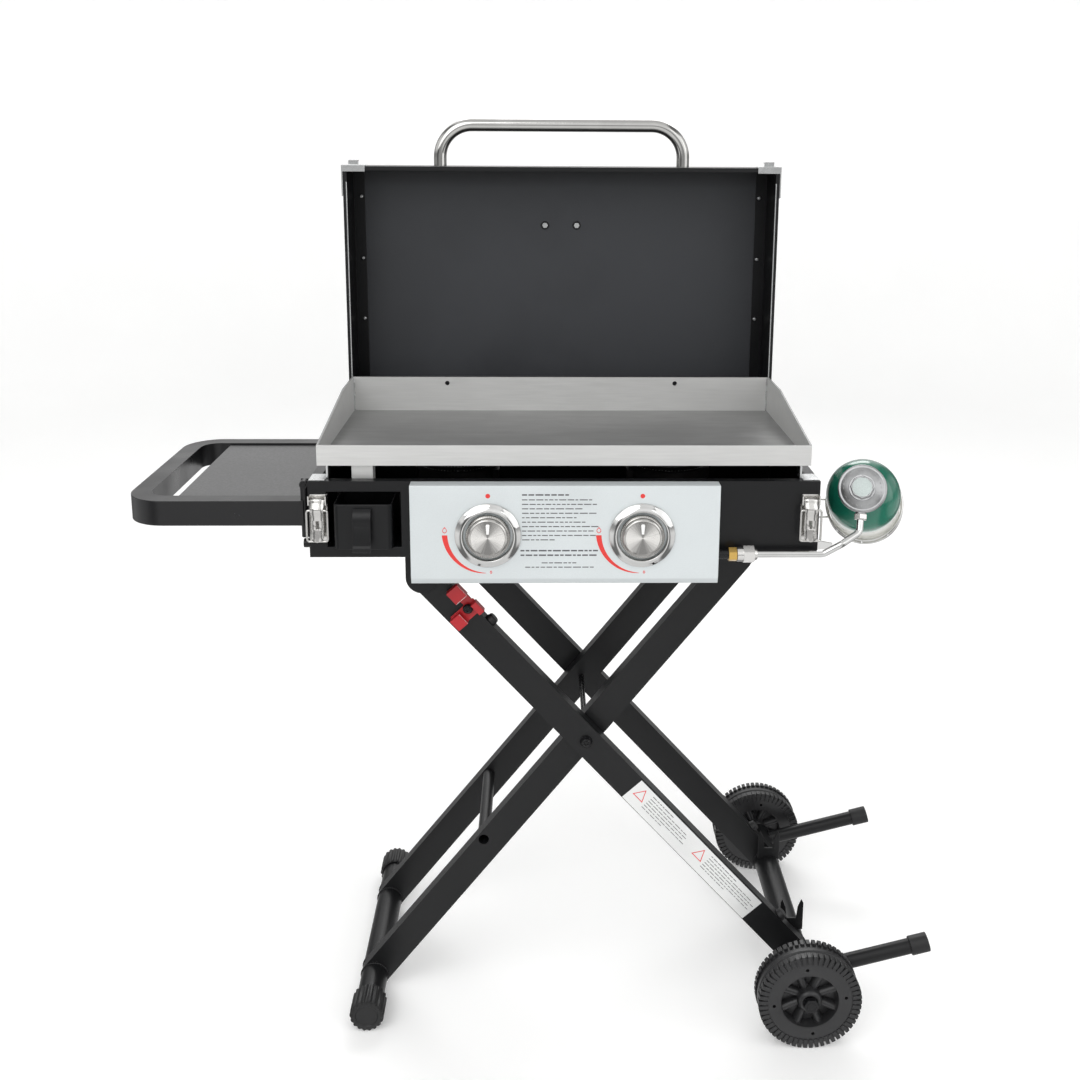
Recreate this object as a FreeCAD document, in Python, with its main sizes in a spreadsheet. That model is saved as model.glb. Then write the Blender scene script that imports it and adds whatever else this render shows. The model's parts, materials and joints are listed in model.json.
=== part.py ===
import FreeCAD, Part
import math
import os
import re

import Sketcher

from FreeCAD import Placement, Rotation, Vector

# Folding camp grill on a scissor cart, in millimetres.
# X runs along the grill to its gas side, Y from the front to the lid, Z up from the ground.
# Work coordinates have X and Y zero at the middle of the firebox; every piece is then
# shifted so that the origin is under the middle of the whole object's box.

doc = FreeCAD.newDocument("folding_camp_grill")

SIZES = {
    # whole object
    "shift_x": 23.5,
    "shift_y": -15,
    "gauge": 1.5,
    # firebox
    "body_width": 659,
    "body_depth": 336,
    "body_base": 690,
    "body_height": 102,
    "body_flange": 14,
    # cup bay and grease cup
    "bay_left": -306,
    "bay_width": 95,
    "bay_base": 704,
    "bay_height": 74,
    "bay_depth": 78,
    "cup_width": 75,
    "cup_depth": 84,
    "cup_height": 60,
    "cup_wall": 1.6,
    # control panel, knobs and gas train
    "panel_width": 395,
    "panel_base": 661,
    "panel_front": 189,
    "panel_fold": 9,
    "panel_slope": 2.5,
    "knob_x": 98.3,
    "knob_z": 726.5,
    "bezel_radius": 42.5,
    "bezel_bore": 31,
    "bezel_depth": 8,
    "knob_radius": 28.5,
    "knob_face_radius": 24.4,
    "knob_back": 192.5,
    "knob_depth": 10.5,
    "knob_socket": 6.8,
    "stem_radius": 4,
    "running_gap": 0.05,
    "valve_radius": 10,
    "pipe_y": 180.5,
    "pipe_z": 698,
    "pipe_radius": 4.5,
    "manifold_radius": 6,
    "nut_x": 222,
    "nut_length": 26,
    "nut_radius": 11.5,
    "burner_x": 150,
    "burner_radius": 58,
    "burner_bore": 30,
    "burner_top": 778,
    "burner_height": 22,
    # griddle
    "griddle_width": 638,
    "griddle_depth": 309,
    "griddle_base": 809,
    "griddle_plate": 5,
    "griddle_wall": 2.5,
    "griddle_lip": 836,
    "griddle_back": 866,
    "griddle_shoulder": 60,
    "chute_x": -261.7,
    "chute_y": -138,
    "chute_width": 27.5,
    "chute_depth": 24,
    "chute_base": 774,
    # lid, standing open behind the griddle
    "lid_width": 652,
    "lid_base": 845,
    "lid_front": 168,
    "lid_depth": 96,
    "rim_flange": 6,
    "seam_width": 19,
    "rivet_inset": 13.5,
    "hinge_y": 193,
    "hinge_z": 820,
    "hinge_x": 232,
    "hinge_gauge": 3,
    "hinge_pin_radius": 3,
    "handle_x": 183.3,
    "handle_y": 200,
    "handle_rise": 61,
    "handle_radius": 9.5,
    "handle_bend": 48,
    # latches
    "latch_x": 316.2,
    "latch_pivot_z": 768,
    "latch_pivot_y": 175.5,
    "latch_width": 19,
    "latch_pin_radius": 2,
    "lever_length": 53,
    "bail_z": 757,
    "bail_y": 181.2,
    "bail_half_width": 13.2,
    "bail_length": 41,
    "bail_wire": 1.4,
    # side shelf
    "shelf_left": -569.5,
    "shelf_right": -336,
    "shelf_half_depth": 166,
    "shelf_base": 732,
    "shelf_top": 765,
    "shelf_bar": 26,
    "shelf_corner": 52,
    "shelf_panel_left": -505.5,
    "shelf_pivot_x": -335.5,
    "shelf_pivot_z": 786,
    "shelf_pin_radius": 3,
    "shelf_ear_y": 158,
    "shelf_ear_radius": 5,
    "shelf_lug_y": 148.8,
    # scissor cart
    "hub_x": -189.5,
    "hub_z": 650,
    "axle_x": 337.5,
    "axle_z": 71,
    "foot_x": -273,
    "foot_z": 24,
    "centre_reach": 329,
    "leg_width": 40,
    "leg_depth": 20,
    "leg_wall": 1.5,
    "outer_leg_y": 125,
    "inner_leg_y": 101,
    "bolt_radius": 5,
    "rod_radius": 4,
    "axle_tube_radius": 19,
    "axle_tube_half": 184,
    "axle_rod_radius": 6,
    "axle_rod_half": 236,
    "stand_length": 183.5,
    "stand_rise": 15,
    "stand_y": 165,
    "stand_radius": 10.5,
    "foot_tube_radius": 19,
    "foot_tube_half": 188,
    "foot_cap_radius": 24,
    "foot_cap_length": 38,
    "crossbar_reach": 271,
    "crossbar_offset": 10,
    "crossbar_radius": 9,
    "wheel_radius": 71,
    "wheel_width": 38,
    "wheel_inside": 190,
    "tyre_bore": 56,
    "wheel_hub_radius": 17,
    "saddle_pin_radius": 7,
    "hanger_radius": 22,
    "hanger_drop": 3,
    # fold latch on the front outer leg
    "catch_reach": 75,
    "catch_offset": 14,
    "catch_height": 12,
    "catch_gauge": 2,
    # gas cylinder and regulator
    "tank_x": 444.5,
    "tank_y": 32,
    "tank_z": 693.2,
    "tank_swing": 17,
    "tank_tilt": 23.6,
    "tank_radius": 49.5,
    "tank_wall": 2,
    "tank_body": 150,
    "tank_dome": 32,
    "tank_neck": 12,
    "tank_neck_radius": 13,
    "regulator_radius": 31.5,
    "ring_radius": 52.2,
    "ring_wire": 1.8,
}

sheet = doc.addObject("Spreadsheet::Sheet", "Sizes")
for row, (alias, number) in enumerate(SIZES.items(), 1):
    sheet.set(f"A{row}", alias)
    sheet.set(f"B{row}", str(number))
    sheet.setAlias(f"B{row}", alias)
doc.recompute()

# Derived places, as formulas on the sheet's names
OUTER_ANGLE = "atan2(hub_z - axle_z; axle_x - hub_x)"
OUTER_LENGTH = "sqrt((hub_z - axle_z)^2 + (axle_x - hub_x)^2)"
CENTRE_X = f"(hub_x + centre_reach * cos({OUTER_ANGLE}))"
CENTRE_Z = f"(hub_z - centre_reach * sin({OUTER_ANGLE}))"
INNER_ANGLE = f"atan2({CENTRE_Z} - foot_z; {CENTRE_X} - foot_x)"
INNER_LOWER = f"sqrt(({CENTRE_Z} - foot_z)^2 + ({CENTRE_X} - foot_x)^2)"
INNER_LENGTH = f"({INNER_LOWER} + centre_reach)"
SADDLE_X = f"(foot_x + {INNER_LENGTH} * cos({INNER_ANGLE}))"
SADDLE_Z = f"(foot_z + {INNER_LENGTH} * sin({INNER_ANGLE}))"
BODY_TOP = "(body_base + body_height)"
LID_TOP = "(lid_base + body_depth)"
LID_BACK = "(lid_front + lid_depth)"

WORD = re.compile(r"\b(?!deg\b)[a-z]\w*\b(?!\()")
ALONG = {"X": Vector(1, 0, 0), "Y": Vector(0, 1, 0), "Z": Vector(0, 0, 1)}
nodes = []


def formula(text):
    """An expression in which every sheet name is written out in full."""
    return WORD.sub(lambda match: "Sizes." + match.group(), str(text))


def size(text):
    """The number that a formula comes to."""
    return float(sheet.evalExpression(formula(text)))


def bind(obj, prop, text):
    obj.setExpression(prop, formula(text))


def place(obj, x="0", y="0", z="0", rotation=None):
    """Put an object at formulas for its base, turned by a fixed rotation."""
    if rotation is not None:
        obj.Placement = Placement(Vector(), rotation)
    bind(obj, "Placement.Base.x", x)
    bind(obj, "Placement.Base.y", y)
    bind(obj, "Placement.Base.z", z)
    return obj


def turned(direction):
    """The rotation that takes +Z to a direction, given as a letter or a vector."""
    heading = ALONG[direction] if isinstance(direction, str) else direction
    return Rotation(Vector(0, 0, 1), heading)


def box(x, y, z, length, width, height):
    """A block from its lowest corner and its three sides."""
    block = doc.addObject("Part::Box", "Block")
    bind(block, "Length", length)
    bind(block, "Width", width)
    bind(block, "Height", height)
    return place(block, x, y, z)


def bar(x, y, z, direction, radius, length):
    """A round bar from the middle of its first end."""
    rod = doc.addObject("Part::Cylinder", "Bar")
    bind(rod, "Radius", radius)
    bind(rod, "Height", length)
    return place(rod, x, y, z, turned(direction))


def hexagon(x, y, z, direction, radius, length):
    """A hexagonal bar, its radius taken to the corners."""
    prism = doc.addObject("Part::Prism", "Hexagon")
    prism.Polygon = 6
    bind(prism, "Circumradius", radius)
    bind(prism, "Height", length)
    return place(prism, x, y, z, turned(direction))


def cone(x, y, z, direction, radius, end_radius, length):
    taper = doc.addObject("Part::Cone", "Cone")
    bind(taper, "Radius1", radius)
    bind(taper, "Radius2", end_radius)
    bind(taper, "Height", length)
    return place(taper, x, y, z, turned(direction))


def ring(x, y, z, direction, radius, wire):
    torus = doc.addObject("Part::Torus", "Ring")
    bind(torus, "Radius1", radius)
    bind(torus, "Radius2", wire)
    return place(torus, x, y, z, turned(direction))


def fuse(*pieces):
    joined = doc.addObject("Part::MultiFuse", "Joined")
    joined.Shapes = list(pieces)
    joined.Refine = True
    return joined


def cut(base, *tools):
    remains = doc.addObject("Part::Cut", "Remains")
    remains.Base = base
    remains.Tool = tools[0] if len(tools) == 1 else fuse(*tools)
    return remains


def together(*pieces):
    """Separate solids that share one node."""
    group = doc.addObject("Part::Compound", "Group")
    group.Links = list(pieces)
    return group


def mirrored(piece, across="Y"):
    """A copy on the other side of the middle plane whose normal is X or Y."""
    copy = doc.addObject("Part::Mirroring", "Mirror")
    copy.Source = piece
    copy.Normal = ALONG[across]
    return copy


def both_sides(piece, across="Y"):
    return together(piece, mirrored(piece, across))


def rounded(piece, radius, picks):
    """Fillet the edges of a Part object that a test picks by their middles."""
    doc.recompute()
    chosen = [n for n, edge in enumerate(piece.Shape.Edges, 1) if picks(edge)]
    smooth = doc.addObject("Part::Fillet", "Smooth")
    smooth.Base = piece
    smooth.Edges = [(n, size(radius), size(radius)) for n in chosen]
    return smooth


def upright(edge):
    """Whether an edge is a vertical line."""
    ends = [v.Point for v in edge.Vertexes]
    return len(ends) == 2 and abs((ends[1] - ends[0]).normalize().z) > 0.999


def lengthwise(edge):
    """Whether an edge is a line along Y."""
    ends = [v.Point for v in edge.Vertexes]
    return len(ends) == 2 and abs((ends[1] - ends[0]).normalize().y) > 0.999


def new_body(plane):
    """A PartDesign body with one sketch on the origin plane of that name."""
    body = doc.addObject("PartDesign::Body", "Body")
    sketch = body.newObject("Sketcher::SketchObject", "Outline")
    flat = next(item for item in body.Origin.OriginFeatures if item.Role == plane + "_Plane")
    sketch.AttachmentSupport = [(flat, "")]
    sketch.MapMode = "FlatFace"
    return body, sketch


def draw_outline(sketch, points):
    """A closed outline through corners whose distances from the origin are bound to formulas."""
    corners = [Vector(size(u), size(v), 0) for u, v in points]
    first = sketch.GeometryCount
    for n, corner in enumerate(corners):
        sketch.addGeometry(Part.LineSegment(corner, corners[(n + 1) % len(corners)]), False)
    for n in range(len(corners)):
        after = first + (n + 1) % len(corners)
        sketch.addConstraint(Sketcher.Constraint("Coincident", first + n, 2, after, 1))
    for n, (u, v) in enumerate(points):
        for kind, text in (("DistanceX", u), ("DistanceY", v)):
            held = sketch.addConstraint(Sketcher.Constraint(kind, -1, 1, first + n, 1, size(text)))
            sketch.setExpression(f"Constraints[{held}]", formula(text))


def draw_circle(sketch, u, v, radius):
    """A circle whose centre and radius are bound to formulas."""
    circle = sketch.addGeometry(
        Part.Circle(Vector(size(u), size(v), 0), Vector(0, 0, 1), size(radius)), False
    )
    for kind, text in (("DistanceX", u), ("DistanceY", v)):
        held = sketch.addConstraint(Sketcher.Constraint(kind, -1, 1, circle, 3, size(text)))
        sketch.setExpression(f"Constraints[{held}]", formula(text))
    held = sketch.addConstraint(Sketcher.Constraint("Radius", circle, size(radius)))
    sketch.setExpression(f"Constraints[{held}]", formula(radius))


def plate(plane, points, thickness, holes=(), corners=None):
    """A plate padded both ways from an origin plane, with round holes and rounded corners."""
    body, sketch = new_body(plane)
    draw_outline(sketch, points)
    for u, v, radius in holes:
        draw_circle(sketch, u, v, radius)
    pad = body.newObject("PartDesign::Pad", "Pad")
    pad.Profile = sketch
    pad.SideType = "Symmetric"
    bind(pad, "Length", thickness)
    doc.recompute()
    if corners:
        through = {"XY": 2, "XZ": 1, "YZ": 0}[plane]
        names = []
        for n, edge in enumerate(pad.Shape.Edges, 1):
            ends = [v.Point for v in edge.Vertexes]
            if len(ends) == 2 and abs((ends[1] - ends[0]).normalize()[through]) > 0.999:
                names.append(f"Edge{n}")
        fillet = body.newObject("PartDesign::Fillet", "Corners")
        fillet.Base = (pad, names)
        bind(fillet, "Radius", corners)
    return body


def turning(points, direction, x, y, z):
    """A solid turned about an axis, from (radius, height) corners."""
    body, sketch = new_body("XZ")
    draw_outline(sketch, points)
    spin = body.newObject("PartDesign::Revolution", "Turned")
    spin.Profile = sketch
    spin.ReferenceAxis = (sketch, ["V_Axis"])
    spin.Angle = 360
    place(body, x, y, z, turned(direction))
    return body


def bent_bar(points, radius, bends, closed=False):
    """A round bar along straight runs joined by tangent arcs."""
    stops = [Vector(*(size(c) for c in point)) for point in points]
    count = len(stops)
    edges = []
    last = None
    first = None
    for n in range(count) if closed else range(1, count - 1):
        corner = stops[n]
        before = (stops[n - 1] - corner).normalize()
        after = (stops[(n + 1) % count] - corner).normalize()
        half = before.getAngle(after) / 2
        reach = size(bends) / math.tan(half)
        start = corner + before * reach
        end = corner + after * reach
        inward = (before + after).normalize()
        middle = corner + inward * (size(bends) / math.sin(half) - size(bends))
        if last is None:
            first = start
            last = start if closed else stops[0]
        if (start - last).Length > 1e-6:
            edges.append(Part.LineSegment(last, start).toShape())
        edges.append(Part.Arc(start, middle, end).toShape())
        last = end
    finish = first if closed else stops[-1]
    edges.append(Part.LineSegment(last, finish).toShape())
    if closed:
        # start halfway along the last run, so that the section is square to it
        edges = edges[-1:] + edges[:-1]
    path = Part.Wire(edges)
    lead = edges[0]
    heading = lead.tangentAt(lead.FirstParameter)
    section = Part.Wire(Part.Circle(lead.valueAt(lead.FirstParameter), heading, size(radius)).toShape())
    sweep = path.makePipeShell([section], True, False)
    wire = doc.addObject("Part::Feature", "BentBar")
    wire.Shape = sweep if isinstance(sweep, Part.Solid) else Part.makeSolid(sweep)
    return wire


def node(label, piece, x=None, y=None, z=None, rotation=None):
    """Name a finished piece and shift it from work coordinates to the object's frame."""
    piece.Label = label
    base = piece.Placement
    if rotation is not None:
        piece.Placement = Placement(base.Base, rotation)
    if x is not None:
        place(piece, f"{x} + shift_x", f"{y} + shift_y", z)
    else:
        texts = {path: text for path, text in piece.ExpressionEngine}
        for axis, shift in (("x", "shift_x"), ("y", "shift_y")):
            held = texts.get(f"Placement.Base.{axis}") or texts.get(f".Placement.Base.{axis}")
            shifted = f"Sizes.{shift}" if held is None else f"{held} + Sizes.{shift}"
            piece.setExpression(f"Placement.Base.{axis}", shifted)
    nodes.append(piece)
    return piece


# ---------------------------------------------------------------- scissor cart

def leg(label, length, trims, bores, outer_y, start_x, start_z, angle):
    """A rectangular tube along its own X, from its upper pivot down to its foot or axle."""
    nose = bar("0", "-leg_depth", "0", "Y", "leg_width / 2", "leg_depth")
    outside = fuse(nose, box("0", "-leg_depth", "-leg_width / 2", length, "leg_depth", "leg_width"))
    inside = box(
        "leg_width / 2",
        "leg_wall - leg_depth",
        "leg_wall - leg_width / 2",
        f"{length} - leg_width / 2",
        "leg_depth - 2 * leg_wall",
        "leg_width - 2 * leg_wall",
    )
    holes = [bar(at, "-leg_depth - 1", up, "Y", radius, "leg_depth + 2") for at, up, radius in bores]
    foot = bar(length, "-2 * leg_depth", "0", "Y", trims, "4 * leg_depth")
    tube = cut(outside, inside, foot, *holes)
    node(label, tube, start_x, outer_y, start_z, Rotation(Vector(0, 1, 0), 1))
    bind(tube, "Placement.Rotation.Angle", angle)


outer_bores = [("0", "0", "bolt_radius"), ("centre_reach", "0", "rod_radius + running_gap")]
inner_bores = [
    ("0", "0", "saddle_pin_radius"),
    ("centre_reach", "0", "rod_radius + running_gap"),
    (f"{INNER_LENGTH} - crossbar_reach", "-crossbar_offset", "crossbar_radius"),
]
for side, outer_y, inner_y in (
    ("front", "leg_depth - outer_leg_y", "leg_depth - inner_leg_y"),
    ("rear", "outer_leg_y", "inner_leg_y"),
):
    leg(
        f"outer_leg_{side}", OUTER_LENGTH, "axle_tube_radius", outer_bores,
        outer_y, "hub_x", "hub_z", OUTER_ANGLE,
    )
    leg(
        f"inner_leg_{side}", INNER_LENGTH, "foot_tube_radius", inner_bores,
        inner_y, SADDLE_X, SADDLE_Z, f"180 deg - {INNER_ANGLE}",
    )


def cross_tube(x, z, half, radius, wall):
    """A round tube along Y, the same length to the front and the rear."""
    outside = bar(x, f"-{half}", z, "Y", radius, f"2 * {half}")
    inside = bar(x, f"-{half} - 1", z, "Y", f"{radius} - {wall}", f"2 * {half} + 2")
    return cut(outside, inside)


stand_angle = size("stand_rise")
stand_heading = Vector(math.cos(math.radians(stand_angle)), 0, math.sin(math.radians(stand_angle)))
stand_roots = [
    bar("axle_x", y, "axle_z", stand_heading, "stand_radius", "60")
    for y in ("stand_y", "-stand_y")
]
node(
    "axle_tube",
    cut(cross_tube("axle_x", "axle_z", "axle_tube_half", "axle_tube_radius", "2"), *stand_roots),
)
node("axle_rod", bar("axle_x", "-axle_rod_half", "axle_z", "Y", "axle_rod_radius", "2 * axle_rod_half"))
nut = cut(
    hexagon("axle_x", "wheel_inside + wheel_width + 1", "axle_z", "Y", "11", "7"),
    bar("axle_x", "wheel_inside", "axle_z", "Y", "axle_rod_radius", "60"),
)
node("axle_nuts", both_sides(nut))

stand_tube = cut(
    bar("axle_x", "stand_y", "axle_z", stand_heading, "stand_radius", "stand_length - 2"),
    bar("axle_x", "stand_y", "axle_z", stand_heading, "stand_radius - 1.5", "stand_length"),
    bar("axle_x", "0", "axle_z", "Y", "axle_tube_radius - 2", "2 * stand_y"),
)
node("stand_tubes", both_sides(stand_tube))
cap_sleeve = cut(
    bar("axle_x", "stand_y", "axle_z", stand_heading, "stand_radius + 2.5", "stand_length"),
    bar("axle_x", "stand_y", "axle_z", stand_heading, "stand_radius", "stand_length - 2"),
    bar("axle_x", "stand_y", "axle_z", stand_heading, "stand_radius + 4", "stand_length - 26"),
)
node("stand_caps", both_sides(cap_sleeve))

fork_outline = [
    ("-17", "15"), ("-17", "58"), ("-14", "64"), ("-9", "52"), ("-7", "34"),
    ("7", "34"), ("9", "52"), ("14", "64"), ("17", "58"), ("17", "15"),
]
forks = []
for y in ("-90", "90"):
    fork = plate("XZ", fork_outline, "3")
    place(fork, "axle_x", y, "axle_z")
    forks.append(cut(fork, bar("axle_x", f"{y} - 5", "axle_z", "Y", "axle_tube_radius", "10")))
node("axle_forks", together(*forks))

hub_bolt = fuse(
    bar("hub_x", "outer_leg_y - leg_depth", "hub_z", "Y", "bolt_radius", "leg_depth + 8"),
    bar("hub_x", "outer_leg_y + 4.2", "hub_z", "Y", "bolt_radius + 5", "4"),
)
centre_nut = cut(
    cone(CENTRE_X, "outer_leg_y", CENTRE_Z, "Y", "9", "6", "6"),
    bar(CENTRE_X, "outer_leg_y - 1", CENTRE_Z, "Y", "rod_radius", "5"),
)
catch_x = f"(hub_x + catch_reach * cos({OUTER_ANGLE}) + catch_offset * sin({OUTER_ANGLE}))"
catch_z = f"(hub_z - catch_reach * sin({OUTER_ANGLE}) + catch_offset * cos({OUTER_ANGLE}))"
catch_screw = fuse(
    bar(catch_x, "-outer_leg_y - 6", catch_z, "Y", "3", "6"),
    bar(catch_x, "-outer_leg_y - 8", catch_z, "Y", "6.5", "4"),
)
centre_rod = bar(CENTRE_X, "-outer_leg_y - 4", CENTRE_Z, "Y", "rod_radius", "2 * outer_leg_y + 8")
node(
    "frame_bolts",
    together(hub_bolt, mirrored(hub_bolt), centre_rod, centre_nut, mirrored(centre_nut), catch_screw),
)

outer_angle = math.radians(size(OUTER_ANGLE))
leg_normal = Vector(math.sin(outer_angle), 0, math.cos(outer_angle))


def on_outer_leg(reach, lift):
    """The X and Z of a point along the outer leg, lifted square to it."""
    x = f"(hub_x + ({reach}) * cos({OUTER_ANGLE}) + ({lift}) * sin({OUTER_ANGLE}))"
    z = f"(hub_z - ({reach}) * sin({OUTER_ANGLE}) + ({lift}) * cos({OUTER_ANGLE}))"
    return x, z


bumpers = []
for reach, y in (("112", "-outer_leg_y + leg_depth / 2"), ("726", "-outer_leg_y + leg_depth / 2"),
                 ("726", "outer_leg_y - leg_depth / 2")):
    x, z = on_outer_leg(reach, "leg_width / 2")
    bumpers.append(cone(x, y, z, leg_normal, "9", "7", "8"))
node("leg_bumpers", together(*bumpers))



def catch_tab(along, up, length, height):
    """A hollow raised tab on the catch's plate."""
    outside = box(along, "-catch_height", up, length, "catch_height", height)
    inside = box(
        f"{along} + catch_gauge", "catch_gauge - catch_height", f"{up} + catch_gauge",
        f"{length} - 2 * catch_gauge", "catch_height", f"{height} - 2 * catch_gauge",
    )
    return cut(outside, inside)


clip = cut(
    fuse(
        box("-34", "-catch_gauge", "-2", "30", "catch_gauge", "14"),
        box("-6", "-catch_gauge", "-27", "20", "catch_gauge", "41"),
        catch_tab("-36", "-6", "20", "20"),
        catch_tab("-2", "7", "18", "9"),
        catch_tab("-4", "-29", "18", "17"),
    ),
    bar("0", "-20", "0", "Y", "3 + running_gap", "30"),
)
node("fold_catch", clip, catch_x, "-outer_leg_y - 0.5", catch_z, Rotation(Vector(0, 1, 0), 1))
bind(clip, "Placement.Rotation.Angle", OUTER_ANGLE)

node("foot_tube", cross_tube("foot_x", "foot_z", "(foot_tube_half - 4)", "foot_tube_radius", "2"))
foot_cap = cut(
    bar("foot_x", "foot_tube_half - foot_cap_length", "foot_z", "Y", "foot_cap_radius", "foot_cap_length"),
    bar("foot_x", "0", "foot_z", "Y", "foot_tube_radius", "foot_tube_half - 4"),
)
node("foot_caps", both_sides(foot_cap))

crossbar_x = f"(foot_x + crossbar_reach * cos({INNER_ANGLE}) - crossbar_offset * sin({INNER_ANGLE}))"
crossbar_z = f"(foot_z + crossbar_reach * sin({INNER_ANGLE}) + crossbar_offset * cos({INNER_ANGLE}))"
node("inner_crossbar", cross_tube(crossbar_x, crossbar_z, "inner_leg_y", "crossbar_radius", "1.5"))
saddle_pin = bar(
    SADDLE_X, "inner_leg_y - leg_depth - 12", SADDLE_Z, "Y", "saddle_pin_radius", "leg_depth + 12"
)
node("saddle_pins", both_sides(saddle_pin))

# ---------------------------------------------------------------- wheels

for side, sign, heading in (("front", "-", Vector(0, -1, 0)), ("rear", "", Vector(0, 1, 0))):
    start = f"{sign}wheel_inside"
    disc = turning(
        [
            ("axle_rod_radius + running_gap", "0"),
            ("wheel_hub_radius", "0"),
            ("wheel_hub_radius", "14"),
            ("tyre_bore - 7", "14"),
            ("tyre_bore - 7", "4"),
            ("tyre_bore", "4"),
            ("tyre_bore", "wheel_width - 3"),
            ("tyre_bore - 5", "wheel_width - 3"),
            ("tyre_bore - 7", "wheel_width - 14"),
            ("wheel_hub_radius", "wheel_width - 14"),
            ("wheel_hub_radius - 3", "wheel_width"),
            ("axle_rod_radius + running_gap", "wheel_width"),
        ],
        heading, "axle_x", start, "axle_z",
    )
    windows = []
    for turn in range(8):
        angle = math.radians(45 * turn + 22.5)
        reach = 34
        window = bar(
            f"axle_x + {reach * math.cos(angle):.4f}",
            f"{start} - 60",
            f"axle_z + {reach * math.sin(angle):.4f}",
            "Y", "8.5", "120",
        )
        windows.append(window)
    node(f"wheel_{side}", cut(disc, *windows))
    tyre = turning(
        [
            ("tyre_bore", "0"),
            ("wheel_radius - 5", "0"),
            ("wheel_radius", "5"),
            ("wheel_radius", "wheel_width - 5"),
            ("wheel_radius - 5", "wheel_width"),
            ("tyre_bore", "wheel_width"),
        ],
        heading, "axle_x", start, "axle_z",
    )
    node(f"tyre_{side}", tyre)

# ---------------------------------------------------------------- firebox

body_left = "-body_width / 2"
body_front = "-body_depth / 2"
shell = box(body_left, body_front, "body_base", "body_width", "body_depth", "body_height")
hollow = box(
    f"{body_left} + gauge", f"{body_front} + gauge", "body_base + gauge",
    "body_width - 2 * gauge", "body_depth - 2 * gauge", "body_height - 2 * gauge",
)
mouth = box(
    f"{body_left} + body_flange", f"{body_front} + body_flange", f"{BODY_TOP} - 5",
    "body_width - 2 * body_flange", "body_depth - 2 * body_flange", "10",
)
bay_mouth = box("bay_left", f"{body_front} - 5", "bay_base", "bay_width", "15", "bay_height")
valve_holes = [
    bar(x, f"{body_front} - 5", "knob_z", "Y", "valve_radius + 2", "15") for x in ("-knob_x", "knob_x")
]
bay = cut(
    box("bay_left - gauge", body_front, "bay_base - gauge", "bay_width + 2 * gauge",
        "bay_depth + gauge", "bay_height - 4"),
    box("bay_left", f"{body_front} - 1", "bay_base", "bay_width", "bay_depth + 1", "bay_height"),
)
node("firebox", fuse(cut(shell, hollow, mouth, bay_mouth, *valve_holes), bay))

cup_left = "bay_left + (bay_width - cup_width) / 2"
cup_front = f"{body_front} - 12"
cup_block = rounded(
    box(cup_left, cup_front, "bay_base + 0.4", "cup_width", "cup_depth", "cup_height"), "7", upright
)
cup_space = box(
    f"{cup_left} + cup_wall", f"{cup_front} + cup_wall", "bay_base + 0.4 + cup_wall",
    "cup_width - 2 * cup_wall", "cup_depth - 2 * cup_wall", "cup_height",
)
strap_x = "(bay_left + bay_width / 2)"
strap = plate(
    "YZ",
    [("0", "52"), ("-3", "52"), ("-12", "30"), ("-14", "6"), ("-20", "1"), ("-17.5", "0"),
     ("-11.5", "5"), ("-9.5", "28"), ("0", "44")],
    "22",
)
place(strap, strap_x, cup_front, "bay_base + 2")
node("grease_cup", together(cut(cup_block, rounded(cup_space, "5.5", upright)), strap))

# ---------------------------------------------------------------- control panel and gas train



def panel_section(inset, back):
    """The panel's section across the grill, its lower band sloping back; inset from the outer faces."""
    return [
        (f"{inset} - panel_front", f"{BODY_TOP} - {inset}"),
        (f"{inset} - panel_front", "panel_base + panel_fold"),
        (f"{inset} - panel_front + panel_slope", f"panel_base + {inset}"),
        (back, f"panel_base + {inset}"),
        (back, f"{BODY_TOP} - {inset}"),
    ]


panel = cut(
    plate("YZ", panel_section("0", "-body_depth / 2"), "panel_width"),
    plate("YZ", panel_section("gauge", "5 - body_depth / 2"), "panel_width - 2 * gauge"),
    *[bar(x, "-panel_front - 5", "knob_z", "Y", "valve_radius + 1", "10") for x in ("-knob_x", "knob_x")],
    box("0", "-pipe_y - manifold_radius - 0.8", "pipe_z - 8", "panel_width", "30", "16"),
)
node("control_panel", panel)

bezels = []
for x in ("-knob_x", "knob_x"):
    bezels.append(
        turning(
            [
                ("bezel_bore", "0"),
                ("bezel_radius", "0"),
                ("bezel_radius", "3"),
                ("bezel_radius - 5", "bezel_depth"),
                ("bezel_bore", "bezel_depth - 2"),
            ],
            Vector(0, -1, 0), x, "-panel_front", "knob_z",
        )
    )
node("knob_bezels", together(*bezels))

for side, x in (("left", "-knob_x"), ("right", "knob_x")):
    node(f"knob_stem_{side}", bar(x, "0.3 - knob_back - knob_socket", "knob_z", "Y", "stem_radius", "44.5"))
    knob = turning(
        [
            ("stem_radius + running_gap", "0"),
            ("knob_radius", "0"),
            ("knob_radius", "4.5"),
            ("knob_face_radius + 1.2", "6"),
            ("knob_face_radius", "knob_depth - 1.2"),
            ("knob_face_radius - 1.2", "knob_depth"),
            ("0", "knob_depth"),
            ("0", "knob_socket"),
            ("stem_radius + running_gap", "knob_socket"),
        ],
        Vector(0, -1, 0), x, "-knob_back", "knob_z",
    )
    node(f"knob_{side}", knob)

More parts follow.
